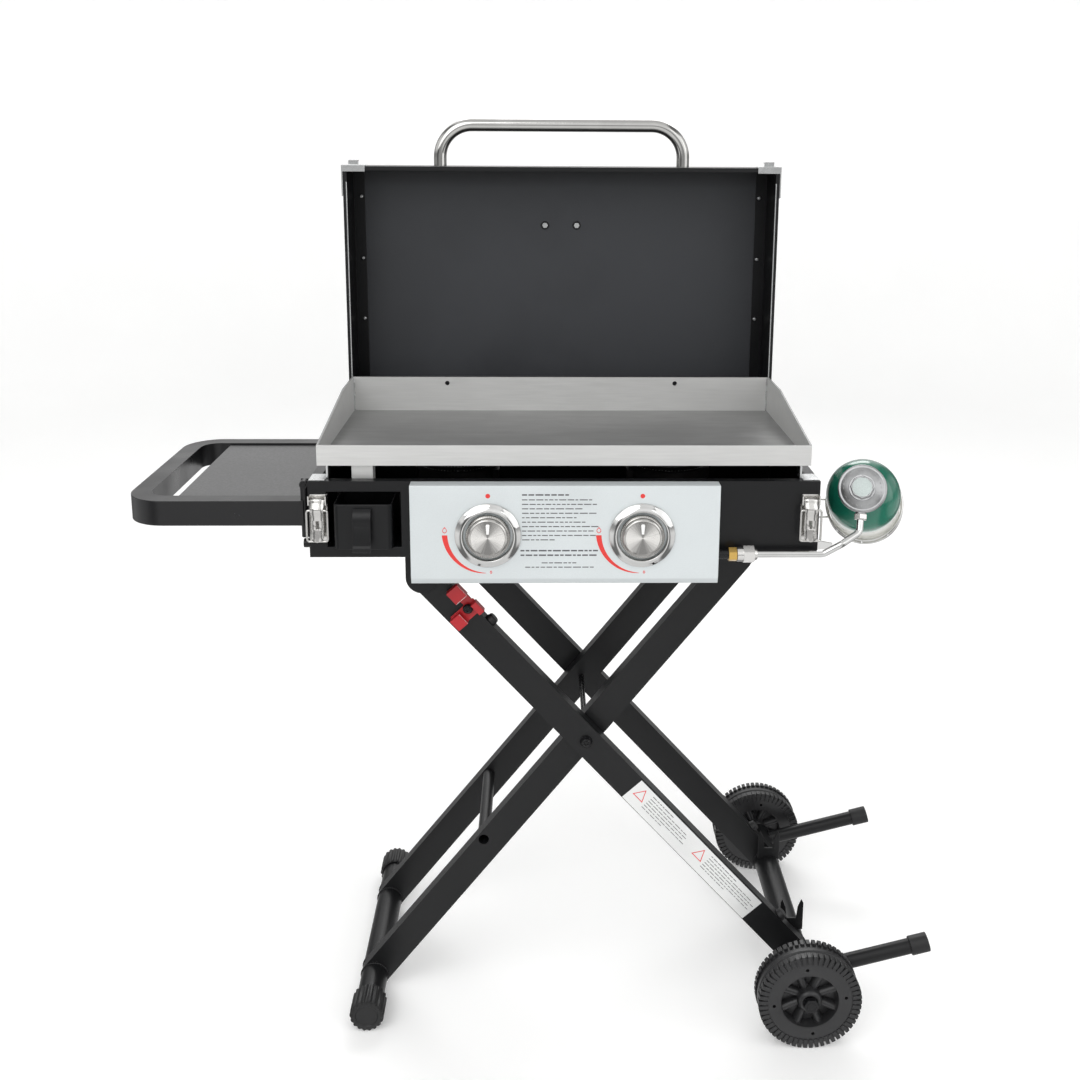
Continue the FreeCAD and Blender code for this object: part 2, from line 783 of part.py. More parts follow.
valves = []
for x in ("-knob_x", "knob_x"):
    valve = cut(
        fuse(
            bar(x, "-panel_front + 4", "knob_z", "Y", "valve_radius", "56"),
            bar(x, "-pipe_y", "pipe_z + manifold_radius - 1", "Z", "4", "knob_z - pipe_z - 10"),
        ),
        bar(x, "-panel_front", "knob_z", "Y", "stem_radius + running_gap", "54"),
        bar("-panel_width / 2", "-pipe_y", "pipe_z", "X", "manifold_radius", "panel_width"),
    )
    valves.append(valve)
node("gas_valves", together(*valves))
node(
    "gas_manifold",
    bar("-knob_x - 20", "-pipe_y", "pipe_z", "X", "manifold_radius", "knob_x + 20 + nut_x - 11"),
)
node(
    "inlet_fitting",
    hexagon("nut_x - 11", "-pipe_y", "pipe_z", "X", "9.5", "10.7"),
)
node(
    "union_nut",
    cut(
        fuse(
            hexagon("nut_x + 8", "-pipe_y", "pipe_z", "X", "nut_radius", "nut_length - 12"),
            bar("nut_x", "-pipe_y", "pipe_z", "X", "nut_radius - 2", "8"),
            cone("nut_x + nut_length - 4", "-pipe_y", "pipe_z", "X", "nut_radius - 2", "7", "4"),
        ),
        bar("nut_x - 1", "-pipe_y", "pipe_z", "X", "pipe_radius + running_gap", "nut_length + 2"),
    ),
)

burners = []
for x, valve_x in (("-burner_x", "-knob_x"), ("burner_x", "knob_x")):
    burner_base = "burner_top - burner_height"
    ring_head = cut(
        fuse(
            bar(x, "0", burner_base, "Z", "burner_radius", "burner_height - 6"),
            cone(x, "0", "burner_top - 6", "Z", "burner_radius", "burner_radius - 9", "6"),
            box(f"{x} - 9", "burner_radius - 14", f"{burner_base} + 1", "18",
                "body_depth / 2 - gauge - burner_radius + 14", "14"),
        ),
        bar(x, "0", f"{burner_base} - 1", "Z", "burner_bore", "burner_height + 2"),
    )
    venturi = cut(
        bar(valve_x, "18 - panel_front + 45", "knob_z", "Y", "11", "panel_front - 70"),
        bar(valve_x, "-panel_front", "knob_z", "Y", "valve_radius + 0.1", "60"),
    )
    riser = bar(valve_x, "-18", "knob_z", "Z", "9", "burner_top - knob_z - 12")
    link = box(f"{valve_x} - 9", "-27", f"{burner_base} + 1", "18", "20", "12")
    burners.append(fuse(ring_head, venturi, riser, link))
node("burner_left", burners[0])
node("burner_right", burners[1])

# ---------------------------------------------------------------- brackets under and round the firebox

hanger_y = "outer_leg_y + 0.7"
hanger_end = "(hub_z - hanger_drop)"
hanger = cut(
    fuse(
        bar("hub_x", hanger_y, hanger_end, "Y", "hanger_radius", "3"),
        box(
            "hub_x - hanger_radius", hanger_y, hanger_end,
            "2 * hanger_radius", "3", f"body_base - {hanger_end}",
        ),
        box("hub_x - 30", hanger_y, "body_base - 2", "60", "30", "2"),
    ),
    bar("hub_x", "outer_leg_y", "hub_z", "Y", "bolt_radius + running_gap", "10"),
)
node("hub_brackets", both_sides(hanger))

saddle = plate(
    "XZ",
    [
        (f"{SADDLE_X} - 16", "body_base"),
        (f"{SADDLE_X} - 16", f"{SADDLE_Z} - 16"),
        (f"{SADDLE_X} + 24", f"{SADDLE_Z} - 16"),
        (f"{SADDLE_X} + 24", f"{SADDLE_Z} - 8.2"),
        (f"{SADDLE_X} - 8", f"{SADDLE_Z} - 8.2"),
        (f"{SADDLE_X} - 8", f"{SADDLE_Z} + 8.2"),
        (f"{SADDLE_X} + 24", f"{SADDLE_Z} + 9.5"),
        (f"{SADDLE_X} + 24", "body_base"),
    ],
    "3",
)
place(saddle, "0", "inner_leg_y - leg_depth - 5", "0")
saddle_foot = box(
    f"{SADDLE_X} - 16", "inner_leg_y - leg_depth - 26.5", "body_base - 2", "40", "20", "2"
)
node("saddle_brackets", both_sides(fuse(saddle, saddle_foot)))

corner = fuse(
    box("body_width / 2 - 22", "body_depth / 2 - 32", BODY_TOP, "21", "29", "1.2"),
    box("body_width / 2 - 25", "body_depth / 2 - 32", BODY_TOP, "3", "20", f"griddle_base - {BODY_TOP}"),
)
node("corner_brackets", both_sides(both_sides(corner), "X"))

base_plates = []
for x in ("-latch_x", "latch_x"):
    base_plates.append(
        fuse(
            box(f"{x} - latch_width / 2 - 2", f"{body_front} - 1.5", "latch_pivot_z - 56",
                "latch_width + 4", "1.5", "63"),
            box(f"{x} - latch_width / 2 - 2.2", f"{body_front} - 11", "latch_pivot_z - 5", "1.6", "11", "12"),
            box(f"{x} + latch_width / 2 + 0.6", f"{body_front} - 11", "latch_pivot_z - 5", "1.6", "11", "12"),
            bar(f"{x} - latch_width / 2 - 2.2", "-latch_pivot_y", "latch_pivot_z", "X",
                "latch_pin_radius", "latch_width + 4.4"),
        )
    )
node("latch_bases", together(*base_plates))

for side, x in (("left", "-latch_x"), ("right", "latch_x")):
    blade = rounded(
        box(f"{x} - latch_width / 2", "-latch_pivot_y - 3", "latch_pivot_z - lever_length",
            "latch_width", "1.5", "lever_length"),
        "9",
        lambda edge: lengthwise(edge) and edge.CenterOfMass.z < size("latch_pivot_z - 40"),
    )
    lever = cut(
        fuse(
            blade,
            bar(f"{x} - latch_width / 2", "-latch_pivot_y", "latch_pivot_z", "X", "4", "latch_width"),
            bar(f"{x} - latch_width / 2 + 1", "-bail_y", "bail_z", "X", "3.2", "latch_width - 2"),
        ),
        bar(f"{x} - 20", "-latch_pivot_y", "latch_pivot_z", "X", "latch_pin_radius + running_gap", "40"),
        bar(f"{x} - 20", "-bail_y", "bail_z", "X", "bail_wire + running_gap", "40"),
        box(f"{x} - 1.8", "-latch_pivot_y - 5", "latch_pivot_z - 36", "3.6", "6", "11"),
    )
    node(f"latch_lever_{side}", lever)
    bail = bent_bar(
        [
            (f"{x} - bail_half_width", "-bail_y", "bail_z"),
            (f"{x} - bail_half_width", "-bail_y", "bail_z - bail_length"),
            (f"{x} + bail_half_width", "-bail_y", "bail_z - bail_length"),
            (f"{x} + bail_half_width", "-bail_y", "bail_z"),
        ],
        "bail_wire", "3", closed=True,
    )
    node(f"latch_bail_{side}", bail, "0", "0", "0")

# ---------------------------------------------------------------- griddle

griddle_left = "-griddle_width / 2"
griddle_front = "-griddle_depth / 2"
griddle_side = plate(
    "YZ",
    [
        ("-griddle_depth / 2", "griddle_base"),
        ("griddle_depth / 2", "griddle_base"),
        ("griddle_depth / 2", "griddle_back"),
        ("griddle_shoulder", "griddle_back"),
        ("-griddle_depth / 2", "griddle_lip"),
    ],
    "griddle_wall",
)
place(griddle_side, "griddle_width / 2 - griddle_wall / 2", "0", "0")
back_wall = cut(
    box(griddle_left, "griddle_depth / 2 - griddle_wall", "griddle_base",
        "griddle_width", "griddle_wall", "griddle_back - griddle_base"),
    *[bar(x, "griddle_depth / 2 - 10", "griddle_back - 9.5", "Y", "3.5", "20") for x in ("-174", "174")],
)
tray = cut(
    fuse(
        box(griddle_left, griddle_front, "griddle_base", "griddle_width", "griddle_depth", "griddle_plate"),
        box(griddle_left, griddle_front, "griddle_base", "griddle_width", "griddle_wall",
            "griddle_lip - griddle_base"),
        back_wall,
        griddle_side,
        mirrored(griddle_side, "X"),
    ),
    box("chute_x - 11", "chute_y - 7", "griddle_base - 1", "22", "14", "griddle_plate + 2"),
)
node("griddle_plate", tray)
chute = cut(
    box("chute_x - chute_width / 2", "chute_y - chute_depth / 2", "chute_base",
        "chute_width", "chute_depth", "griddle_base - chute_base"),
    box("chute_x - chute_width / 2 + gauge", "chute_y - chute_depth / 2 + gauge", "chute_base - 1",
        "chute_width - 2 * gauge", "chute_depth - 2 * gauge", "griddle_base - chute_base + 2"),
)
node("grease_chute", chute)

# ---------------------------------------------------------------- lid

def seam_holes(across):
    """Drills along Y through the riveted seam at this distance from the middle."""
    return [bar(across, f"{LID_BACK} - 2 * gauge - 1", z, "Y", "2", "2 * gauge + 2") for z in rivet_heights]


rivet_heights = ["1133", "1036.5", "940.5"]
rivet_x = "(lid_width / 2 - rivet_inset)"
badge_screw_x = ("-25", "25")
badge_z = "1089"
lid_shell = plate(
    "YZ",
    [
        ("lid_front", "lid_base"),
        (LID_BACK, "lid_base"),
        (LID_BACK, LID_TOP),
        ("lid_front", LID_TOP),
        ("lid_front", f"{LID_TOP} - rim_flange"),
        ("lid_front + gauge", f"{LID_TOP} - rim_flange"),
        ("lid_front + gauge", f"{LID_TOP} - gauge"),
        (f"{LID_BACK} - gauge", f"{LID_TOP} - gauge"),
        (f"{LID_BACK} - gauge", "lid_base + gauge"),
        ("lid_front", "lid_base + gauge"),
    ],
    "lid_width - 2 * gauge",
)
place(lid_shell, "0", "0", "0")
badge_holes = [bar(x, f"{LID_BACK} - 5", badge_z, "Y", "2.5", "10") for x in badge_screw_x]
node("lid_shell", cut(lid_shell, *badge_holes, *seam_holes(rivet_x), *seam_holes(f"-{rivet_x}")))
lid_side = cut(
    fuse(
        box("lid_width / 2 - gauge", "lid_front", "lid_base", "gauge", "lid_depth", "body_depth"),
        box("lid_width / 2 - rim_flange", "lid_front", "lid_base + rim_flange", "rim_flange", "gauge",
            "body_depth - 2 * rim_flange"),
        box("lid_width / 2 - seam_width", f"{LID_BACK} - 2 * gauge", "lid_base + gauge", "seam_width", "gauge",
            "body_depth - 2 * gauge"),
    ),
    *seam_holes(rivet_x),
)
node("lid_sides", both_sides(lid_side, "X"))
rivets = []
for z in rivet_heights:
    rivet = fuse(
        bar(rivet_x, f"{LID_BACK} - 2 * gauge", z, "Y", "2", "2 * gauge"),
        cone(rivet_x, f"{LID_BACK} - 2 * gauge", z, Vector(0, -1, 0), "3.6", "2", "2"),
    )
    rivets += [rivet, mirrored(rivet, "X")]
node("lid_rivets", together(*rivets))
badge = cut(
    rounded(box("-38", LID_BACK, f"{badge_z} - 16", "76", "2", "32"), "12", lengthwise),
    *[bar(x, f"{LID_BACK} - 1", badge_z, "Y", "2.5", "5") for x in badge_screw_x],
)
screws = []
for x in badge_screw_x:
    screws.append(
        fuse(
            bar(x, f"{LID_BACK} - 5", badge_z, "Y", "2.5", "7"),
            hexagon(x, f"{LID_BACK} - gauge - 3.5", badge_z, "Y", "4.6", "3.5"),
        )
    )
node("badge_plate", together(badge, *screws))

handle = bent_bar(
    [
        ("-handle_x", "handle_y", LID_TOP),
        ("-handle_x", "handle_y", f"{LID_TOP} + handle_rise"),
        ("handle_x", "handle_y", f"{LID_TOP} + handle_rise"),
        ("handle_x", "handle_y", LID_TOP),
    ],
    "handle_radius", "handle_bend",
)
node("lid_handle", handle, "0", "0", "0")

corner_catch = fuse(
    box("lid_width / 2 - 33", "lid_front - 0.8", LID_TOP, "35", "22.8", "2"),
    box("lid_width / 2", "lid_front - 0.8", f"{LID_TOP} - 44", "2", "22.8", "46"),
    box("lid_width / 2 - 33", "lid_front - 0.8", f"{LID_TOP} - 8", "35", "0.8", "9"),
    box("lid_width / 2 - 23", "lid_front + 6", LID_TOP, "15", "2", "9"),
    box("lid_width / 2 - 23", "lid_front + 6", f"{LID_TOP} + 7", "15", "8", "2"),
)
node("lid_catches", both_sides(corner_catch, "X"))

ear = plate(
    "YZ",
    [
        ("hinge_y - 18", "lid_base"),
        ("hinge_y - 9", "hinge_z - 8"),
        ("hinge_y + 9", "hinge_z - 8"),
        ("hinge_y + 18", "lid_base"),
    ],
    "hinge_gauge",
    [("hinge_y", "hinge_z", "hinge_pin_radius + running_gap")],
)
place(ear, "hinge_x", "0", "0")
node("lid_hinge_ears", both_sides(ear, "X"))
arm = plate(
    "YZ",
    [
        ("body_depth / 2", "body_base + 48"),
        ("body_depth / 2", f"{BODY_TOP} - 4"),
        ("hinge_y - 16", f"{BODY_TOP} - 1"),
        ("hinge_y - 9", "hinge_z + 9"),
        ("hinge_y + 9", "hinge_z + 9"),
        ("hinge_y + 9", "hinge_z - 14"),
        ("hinge_y - 12", "body_base + 48"),
    ],
    "hinge_gauge",
)
place(arm, "hinge_x + hinge_gauge + 0.4", "0", "0")
hinge_pin = bar(
    "hinge_x - 5", "hinge_y", "hinge_z", "X", "hinge_pin_radius", "hinge_gauge * 1.5 + 5.4"
)
node("hinge_arms", both_sides(fuse(arm, hinge_pin), "X"))

# ---------------------------------------------------------------- side shelf

shelf_length = "(shelf_right - shelf_left)"
frame_outside = rounded(
    box("shelf_left", "-shelf_half_depth", "shelf_base", shelf_length, "2 * shelf_half_depth",
        "shelf_top - shelf_base"),
    "shelf_corner",
    lambda edge: upright(edge) and edge.CenterOfMass.x < size("shelf_left + 5"),
)
frame_window = rounded(
    box("shelf_left + shelf_bar", "shelf_bar - shelf_half_depth", "shelf_base - 1",
        f"{shelf_length} - shelf_bar - 4", "2 * (shelf_half_depth - shelf_bar)", "shelf_top"),
    "shelf_corner - shelf_bar",
    lambda edge: upright(edge) and edge.CenterOfMass.x < size("shelf_left + shelf_bar + 5"),
)
flange = box("shelf_right - 4", "-150", "body_base + 25", "4", "300", "shelf_top - body_base - 25")
ear = cut(
    fuse(
        bar("shelf_pivot_x", "shelf_ear_y", "body_base + 25", "Z", "shelf_ear_radius",
            "shelf_pivot_z - body_base - 25"),
        bar("shelf_pivot_x", "shelf_ear_y - shelf_ear_radius - 1", "shelf_pivot_z", "Y",
            "shelf_ear_radius + 0.3", "2 * shelf_ear_radius + 2"),
    ),
    bar("shelf_pivot_x", "shelf_ear_y - 10", "shelf_pivot_z", "Y", "shelf_pin_radius + running_gap", "20"),
)
node("shelf_frame", fuse(cut(frame_outside, frame_window), flange, ear, mirrored(ear)))
panel_sheet = box(
    "shelf_panel_left", "shelf_bar - shelf_half_depth", "shelf_top - 6",
    "shelf_right - 4 - shelf_panel_left", "2 * (shelf_half_depth - shelf_bar)", "2.5",
)
node("shelf_panel", panel_sheet)

mount = fuse(
    bar("shelf_pivot_x", "shelf_lug_y", "shelf_pivot_z", "Y", "shelf_pin_radius", "16"),
    box("shelf_pivot_x - 5", "shelf_lug_y", "shelf_pivot_z - 5",
        "5 - body_width / 2 - shelf_pivot_x", "3", "10"),
)
stop = bar("-body_width / 2 - 10", "shelf_lug_y + 2", "body_base + 14", "X", "6", "10")
node("shelf_mounts", together(mount, mirrored(mount), stop, mirrored(stop)))

# ---------------------------------------------------------------- gas cylinder, its cradle and the regulator

swing = math.radians(size("tank_swing"))
tilt = math.radians(size("tank_tilt"))
tank_heading = Vector(-math.sin(swing) * math.cos(tilt), -math.cos(swing) * math.cos(tilt), math.sin(tilt))


def along_tank(reach):
    """Formulas for the point this far from the cylinder's foot along its axis."""
    return (
        f"(tank_x - ({reach}) * sin(tank_swing) * cos(tank_tilt))",
        f"(tank_y - ({reach}) * cos(tank_swing) * cos(tank_tilt))",
        f"(tank_z + ({reach}) * sin(tank_tilt))",
    )


vessel = turning(
    [
        ("0", "4"),
        ("tank_radius - 12", "4"),
        ("tank_radius - 10", "0"),
        ("tank_radius - 4", "0"),
        ("tank_radius", "4"),
        ("tank_radius", "tank_body"),
        ("tank_radius - 4", "tank_body + 12"),
        ("tank_radius - 14", "tank_body + 23"),
        ("tank_radius - 28", "tank_body + 30"),
        ("tank_neck_radius", "tank_body + tank_dome"),
        ("tank_neck_radius", "tank_body + tank_dome + tank_neck"),
        ("0", "tank_body + tank_dome + tank_neck"),
    ],
    tank_heading, "tank_x", "tank_y", "tank_z",
)
gas_space = turning(
    [
        ("0", "4 + tank_wall"),
        ("tank_radius - 2 * tank_wall", "4 + tank_wall"),
        ("tank_radius - tank_wall", "6 + tank_wall"),
        ("tank_radius - tank_wall", "tank_body"),
        ("tank_radius - 4 - tank_wall", "tank_body + 11"),
        ("tank_radius - 15", "tank_body + 20"),
        ("0", "tank_body + 28"),
    ],
    tank_heading, "tank_x", "tank_y", "tank_z",
)
cylinder = cut(vessel, gas_space)
node("gas_cylinder", cylinder)

neck_top = "tank_body + tank_dome + tank_neck"
reg_x, reg_y, reg_z = along_tank(f"{neck_top} - 9")
socket = turning(
    [
        ("tank_neck_radius + 0.3", "0"),
        ("tank_neck_radius + 5", "0"),
        ("tank_neck_radius + 5", "14"),
        ("regulator_radius - 4", "19"),
        ("regulator_radius", "22"),
        ("regulator_radius", "29"),
        ("regulator_radius - 4", "32"),
        ("regulator_radius - 9", "34"),
        ("15", "37"),
        ("14", "42"),
        ("0", "42"),
        ("0", "9.4"),
        ("tank_neck_radius + 0.3", "9.4"),
    ],
    tank_heading, reg_x, reg_y, reg_z,
)
side_way = Vector(0, 0, 1).cross(tank_heading).normalize()
down_way = side_way.cross(tank_heading) * -1
down_way = down_way if down_way.z < 0 else down_way * -1
out_x, out_y, out_z = along_tank(f"{neck_top} + 13")
outlet = hexagon(out_x, out_y, out_z, down_way, "9", "regulator_radius + 9")
outlet_end = [
    size(text) + down_way[n] * (size("regulator_radius") + 9)
    for n, text in enumerate((out_x, out_y, out_z))
]
pipe_start = [f"{value:.4f}" for value in outlet_end]
pipe_lead = [f"{value + down_way[n] * 16:.4f}" for n, value in enumerate(outlet_end)]
regulator = fuse(socket, outlet)
node("regulator", regulator)

pipe = bent_bar(
    [
        tuple(pipe_start),
        tuple(pipe_lead),
        ("356.5", "-pipe_y - 3", "712"),
        ("334.5", "-pipe_y", "pipe_z"),
        ("nut_x", "-pipe_y", "pipe_z"),
    ],
    "pipe_radius", "12",
)
node("supply_pipe", pipe, "0", "0", "0")

rings = [ring(*along_tank(reach), tank_heading, "ring_radius", "ring_wire") for reach in ("22", "62")]
tie_spread = math.radians(42)
ties = []
for turn in (-1, 0, 1):
    around = down_way * math.cos(turn * tie_spread) + side_way * math.sin(turn * tie_spread)
    foot = along_tank("22")
    ties.append(
        bar(
            f"{foot[0]} + {around.x:.5f} * ring_radius",
            f"{foot[1]} + {around.y:.5f} * ring_radius",
            f"{foot[2]} + {around.z:.5f} * ring_radius",
            tank_heading, "ring_wire - 0.4", "40",
        )
    )
arms = []
wall_x = size("body_width / 2")
for reach, turn in (("62", 0.35), ("22", -0.25)):
    foot = Vector(*(size(text) for text in along_tank(reach)))
    left = Vector(-1, 0, 0)
    left = (left - tank_heading * left.dot(tank_heading)).normalize()
    around = left * math.cos(turn) + down_way * math.sin(turn)
    grip = foot + around * size("ring_radius")
    run = Vector(wall_x - grip.x, 0, 0)
    arms.append(
        bar(f"{wall_x:.4f}", f"{grip.y:.4f}", f"{grip.z:.4f}", "X", "ring_wire - 0.3", f"{-run.x:.4f}")
    )
wall_tab = box(f"{wall_x}", "-60", "body_base + 8", "1.5", "110", "88")
support = plate(
    "XZ",
    [
        (f"{wall_x}", "body_base"),
        (f"{wall_x} + 26", "body_base + 2"),
        (f"{wall_x} + 26", "body_base + 9"),
        (f"{wall_x}", "body_base + 14"),
    ],
    "3",
)
place(support, "0", "-140", "0")
node("tank_cradle", fuse(*rings, *ties, *arms, wall_tab, support))

doc.recompute()

# ---------------------------------------------------------------- checks and files

for item in doc.Objects:
    if {"Invalid", "Error"} & set(item.State):
        raise RuntimeError(f"{item.Label} did not rebuild: {item.State}")
for piece in nodes:
    if piece.Shape.isNull() or not piece.Shape.isValid():
        raise RuntimeError(f"{piece.Label} has no valid shape")

os.makedirs("parts", exist_ok=True)
for piece in nodes:
    piece.Shape.exportStep(f"parts/{piece.Label}.step")
print(f"{len(nodes)} nodes written")
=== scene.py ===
import json
import math
import random

import bmesh
import bpy
from mathutils import Matrix, Vector

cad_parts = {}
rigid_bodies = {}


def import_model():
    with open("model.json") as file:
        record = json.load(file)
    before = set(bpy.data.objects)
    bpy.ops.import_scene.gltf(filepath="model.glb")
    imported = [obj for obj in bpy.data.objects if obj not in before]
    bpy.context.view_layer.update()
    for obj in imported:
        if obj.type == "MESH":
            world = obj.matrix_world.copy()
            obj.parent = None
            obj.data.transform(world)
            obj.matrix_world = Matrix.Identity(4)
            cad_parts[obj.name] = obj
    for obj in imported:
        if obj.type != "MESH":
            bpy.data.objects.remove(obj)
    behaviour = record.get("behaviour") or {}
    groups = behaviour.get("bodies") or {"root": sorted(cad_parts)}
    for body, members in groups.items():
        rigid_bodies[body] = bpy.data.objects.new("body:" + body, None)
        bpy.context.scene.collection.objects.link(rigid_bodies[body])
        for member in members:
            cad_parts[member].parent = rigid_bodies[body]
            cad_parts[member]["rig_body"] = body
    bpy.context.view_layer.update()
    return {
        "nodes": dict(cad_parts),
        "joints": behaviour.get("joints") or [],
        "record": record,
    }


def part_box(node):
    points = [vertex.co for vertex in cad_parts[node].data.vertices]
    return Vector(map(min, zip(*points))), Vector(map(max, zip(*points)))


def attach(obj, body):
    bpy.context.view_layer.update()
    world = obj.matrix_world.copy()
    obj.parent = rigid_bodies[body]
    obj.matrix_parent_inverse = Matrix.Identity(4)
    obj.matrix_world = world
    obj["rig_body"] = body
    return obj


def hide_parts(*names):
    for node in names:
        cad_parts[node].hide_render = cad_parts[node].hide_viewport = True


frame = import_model()

MM = 0.001
Y, Z = Vector((0, 1, 0)), Vector((0, 0, 1))
joints = {joint["name"]: joint for joint in frame["joints"]}
random.seed(11)


# ---------------------------------------------------------------- places read from the frame

def middle(node):
    low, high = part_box(node)
    return (low + high) / 2


def span(node):
    low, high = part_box(node)
    return high - low


def joint_place(name):
    return Vector(joints[name]["pos_m"])


def axis_line(node, direction):
    """Where a turned node starts on its own axis, and how long it is."""
    points = [vertex.co for vertex in frame["nodes"][node].data.vertices]
    across = direction.cross(Z).normalized()
    over = across.cross(direction)
    start, end = (pick(point.dot(direction) for point in points) for pick in (min, max))
    sides = [point.dot(across) for point in points]
    heights = [point.dot(over) for point in points]
    centre = across * (min(sides) + max(sides)) / 2 + over * (min(heights) + max(heights)) / 2
    return centre + direction * start, end - start


# ---------------------------------------------------------------- materials

class Finish:
    """A Principled material with the texture nodes that give it grain."""

    def __init__(self, name, colour, roughness, metallic=0.0, **fixed):
        self.material = bpy.data.materials.new(name)
        self.material.use_nodes = True
        self.tree = self.material.node_tree
        self.shader = self.tree.nodes["Principled BSDF"]
        self.shader.inputs["Base Color"].default_value = (*colour, 1)
        self.shader.inputs["Roughness"].default_value = roughness
        self.shader.inputs["Metallic"].default_value = metallic
        for socket, value in fixed.items():
            self.shader.inputs[socket.replace("_", " ")].default_value = value
        self.material.diffuse_color = (*colour, 1)

    def add(self, kind, **values):
        made = self.tree.nodes.new("ShaderNode" + kind)
        for name, value in values.items():
            if name in made.inputs:
                made.inputs[name].default_value = value
            else:
                setattr(made, name, value)
        return made

    def link(self, output, socket):
        self.tree.links.new(output, socket)

    def coordinates(self, stretch=(1, 1, 1)):
        place = self.add("TexCoord")
        mapping = self.add("Mapping")
        mapping.inputs["Scale"].default_value = stretch
        self.link(place.outputs["Object"], mapping.inputs["Vector"])
        return mapping.outputs["Vector"]

    def noise(self, scale, detail=3.0, stretch=(1, 1, 1), distortion=0.0):
        made = self.add("TexNoise", Scale=scale, Detail=detail, Distortion=distortion)
        self.link(self.coordinates(stretch), made.inputs["Vector"])
        return made.outputs["Fac"]

    def cells(self, scale, stretch=(1, 1, 1)):
        made = self.add("TexVoronoi", Scale=scale)
        self.link(self.coordinates(stretch), made.inputs["Vector"])
        return made.outputs["Distance"]

    def remap(self, source, low, high, start=0.0, end=1.0):
        made = self.add("MapRange")
        made.inputs["From Min"].default_value = low
        made.inputs["From Max"].default_value = high
        made.inputs["To Min"].default_value = start
        made.inputs["To Max"].default_value = end
        self.link(source, made.inputs["Value"])
        return made.outputs["Result"]

    def axes(self, kind="Object"):
        """X, Y and Z of the place on the piece, or of its normal."""
        place = self.add("TexCoord")
        split = self.add("SeparateXYZ")
        self.link(place.outputs[kind], split.inputs["Vector"])
        return split.outputs

    def combine(self, one, two, how="ADD"):
        """A Math node on one texture and on another texture or a number."""
        made = self.add("Math", operation=how)
        self.link(one, made.inputs[0])
        if isinstance(two, (int, float)):
            made.inputs[1].default_value = two
        else:
            self.link(two, made.inputs[1])
        return made.outputs["Value"]

    def tint(self, source, dark, light, low=0.3, high=0.7):
        """Base colour that runs from dark to light with a texture."""
        self.link(self.ramp(source, dark, light, low, high), self.shader.inputs["Base Color"])

    def ramp(self, source, dark, light, low=0.3, high=0.7):
        made = self.add("ValToRGB")
        made.color_ramp.elements[0].position = low
        made.color_ramp.elements[0].color = (*dark, 1)
        made.color_ramp.elements[1].position = high
        made.color_ramp.elements[1].color = (*light, 1)
        self.link(source, made.inputs["Fac"])
        return made.outputs["Color"]

    def vary(self, source, rough_low, rough_high, low=0.3, high=0.7):
        """Roughness that follows a texture."""
        self.link(self.remap(source, low, high, rough_low, rough_high), self.shader.inputs["Roughness"])

    def relief(self, source, depth, strength=1.0):
        bump = self.add("Bump", Distance=depth, Strength=strength)
        self.link(source, bump.inputs["Height"])
        self.link(bump.outputs["Normal"], self.shader.inputs["Normal"])


def shade(colour, factor):
    return tuple(min(1.0, part * factor) for part in colour)


def colour_sockets(sockets):
    return [socket for socket in sockets if socket.type == "RGBA"]


def powder_coat(name, colour, roughness, grain=900, depth=0.06):
    """Baked powder: fine orange peel, cloudy sheen and a few paler rubbed specks."""
    made = Finish(name, colour, roughness, Specular_IOR_Level=0.32)
    peel = made.noise(grain, 4)
    cloud = made.noise(9, 3)
    made.tint(cloud, shade(colour, 0.86), shade(colour, 1.2))
    sheen = made.combine(cloud, made.noise(grain * 0.4, 2), "MULTIPLY")
    made.vary(sheen, roughness - 0.06, roughness + 0.09, 0.12, 0.42)
    made.relief(peel, depth * MM, 0.6)
    return made.material


def plated(name, colour, roughness, smears=30.0):
    """Bright plate or polished steel with faint smears and pits."""
    made = Finish(name, colour, roughness, 1.0)
    smear = made.noise(smears, 4, (1, 1, 1), 0.6)
    made.vary(smear, max(0.02, roughness - 0.05), roughness + 0.08)
    made.tint(smear, shade(colour, 0.93), shade(colour, 1.03))
    made.relief(made.noise(500, 3), 0.012 * MM, 0.4)
    return made.material


def moulded(name, colour, roughness, grain=700, depth=0.05):
    """Moulded plastic or rubber with a fine spark-eroded grain."""
    made = Finish(name, colour, roughness, Specular_IOR_Level=0.45)
    pits = made.cells(grain)
    cloud = made.noise(16, 3)
    made.tint(cloud, shade(colour, 0.82), shade(colour, 1.25))
    made.vary(cloud, roughness - 0.07, roughness + 0.08)
    made.relief(pits, depth * MM, 0.5)
    return made.material


def enamel(name, colour, roughness=0.16, coat=0.6):
    """Glossy paint over steel with soft orange peel."""
    made = Finish(name, colour, roughness, Coat_Weight=coat, Coat_Roughness=0.05)
    cloud = made.noise(14, 3)
    made.tint(cloud, shade(colour, 0.88), shade(colour, 1.12))
    made.vary(cloud, roughness - 0.04, roughness + 0.06)
    made.relief(made.noise(160, 2), 0.05 * MM, 0.25)
    return made.material


def silver_paint(name, colour, roughness):
    """Metallic silver paint: a fine sparkle over a smooth coat, with painted shade that darkens faces
    leaning down.
    """
    made = Finish(name, colour, roughness, 0.35, Coat_Weight=0.2, Coat_Roughness=0.2)
    flakes = made.noise(2400, 2)
    cloud = made.noise(7, 2)
    # painted shade: faces whose normal leans down take the darker colour
    painted_shade_on_down_faces = made.remap(made.axes("Normal")["Z"], -0.12, -0.02)
    even = made.combine(flakes, cloud, "MULTIPLY")
    made.tint(made.combine(even, painted_shade_on_down_faces, "MULTIPLY"), shade(colour, 0.84), shade(colour, 1.04), 0.0, 0.3)
    made.vary(flakes, roughness - 0.06, roughness + 0.08)
    made.relief(flakes, 0.01 * MM, 0.3)
    return made.material


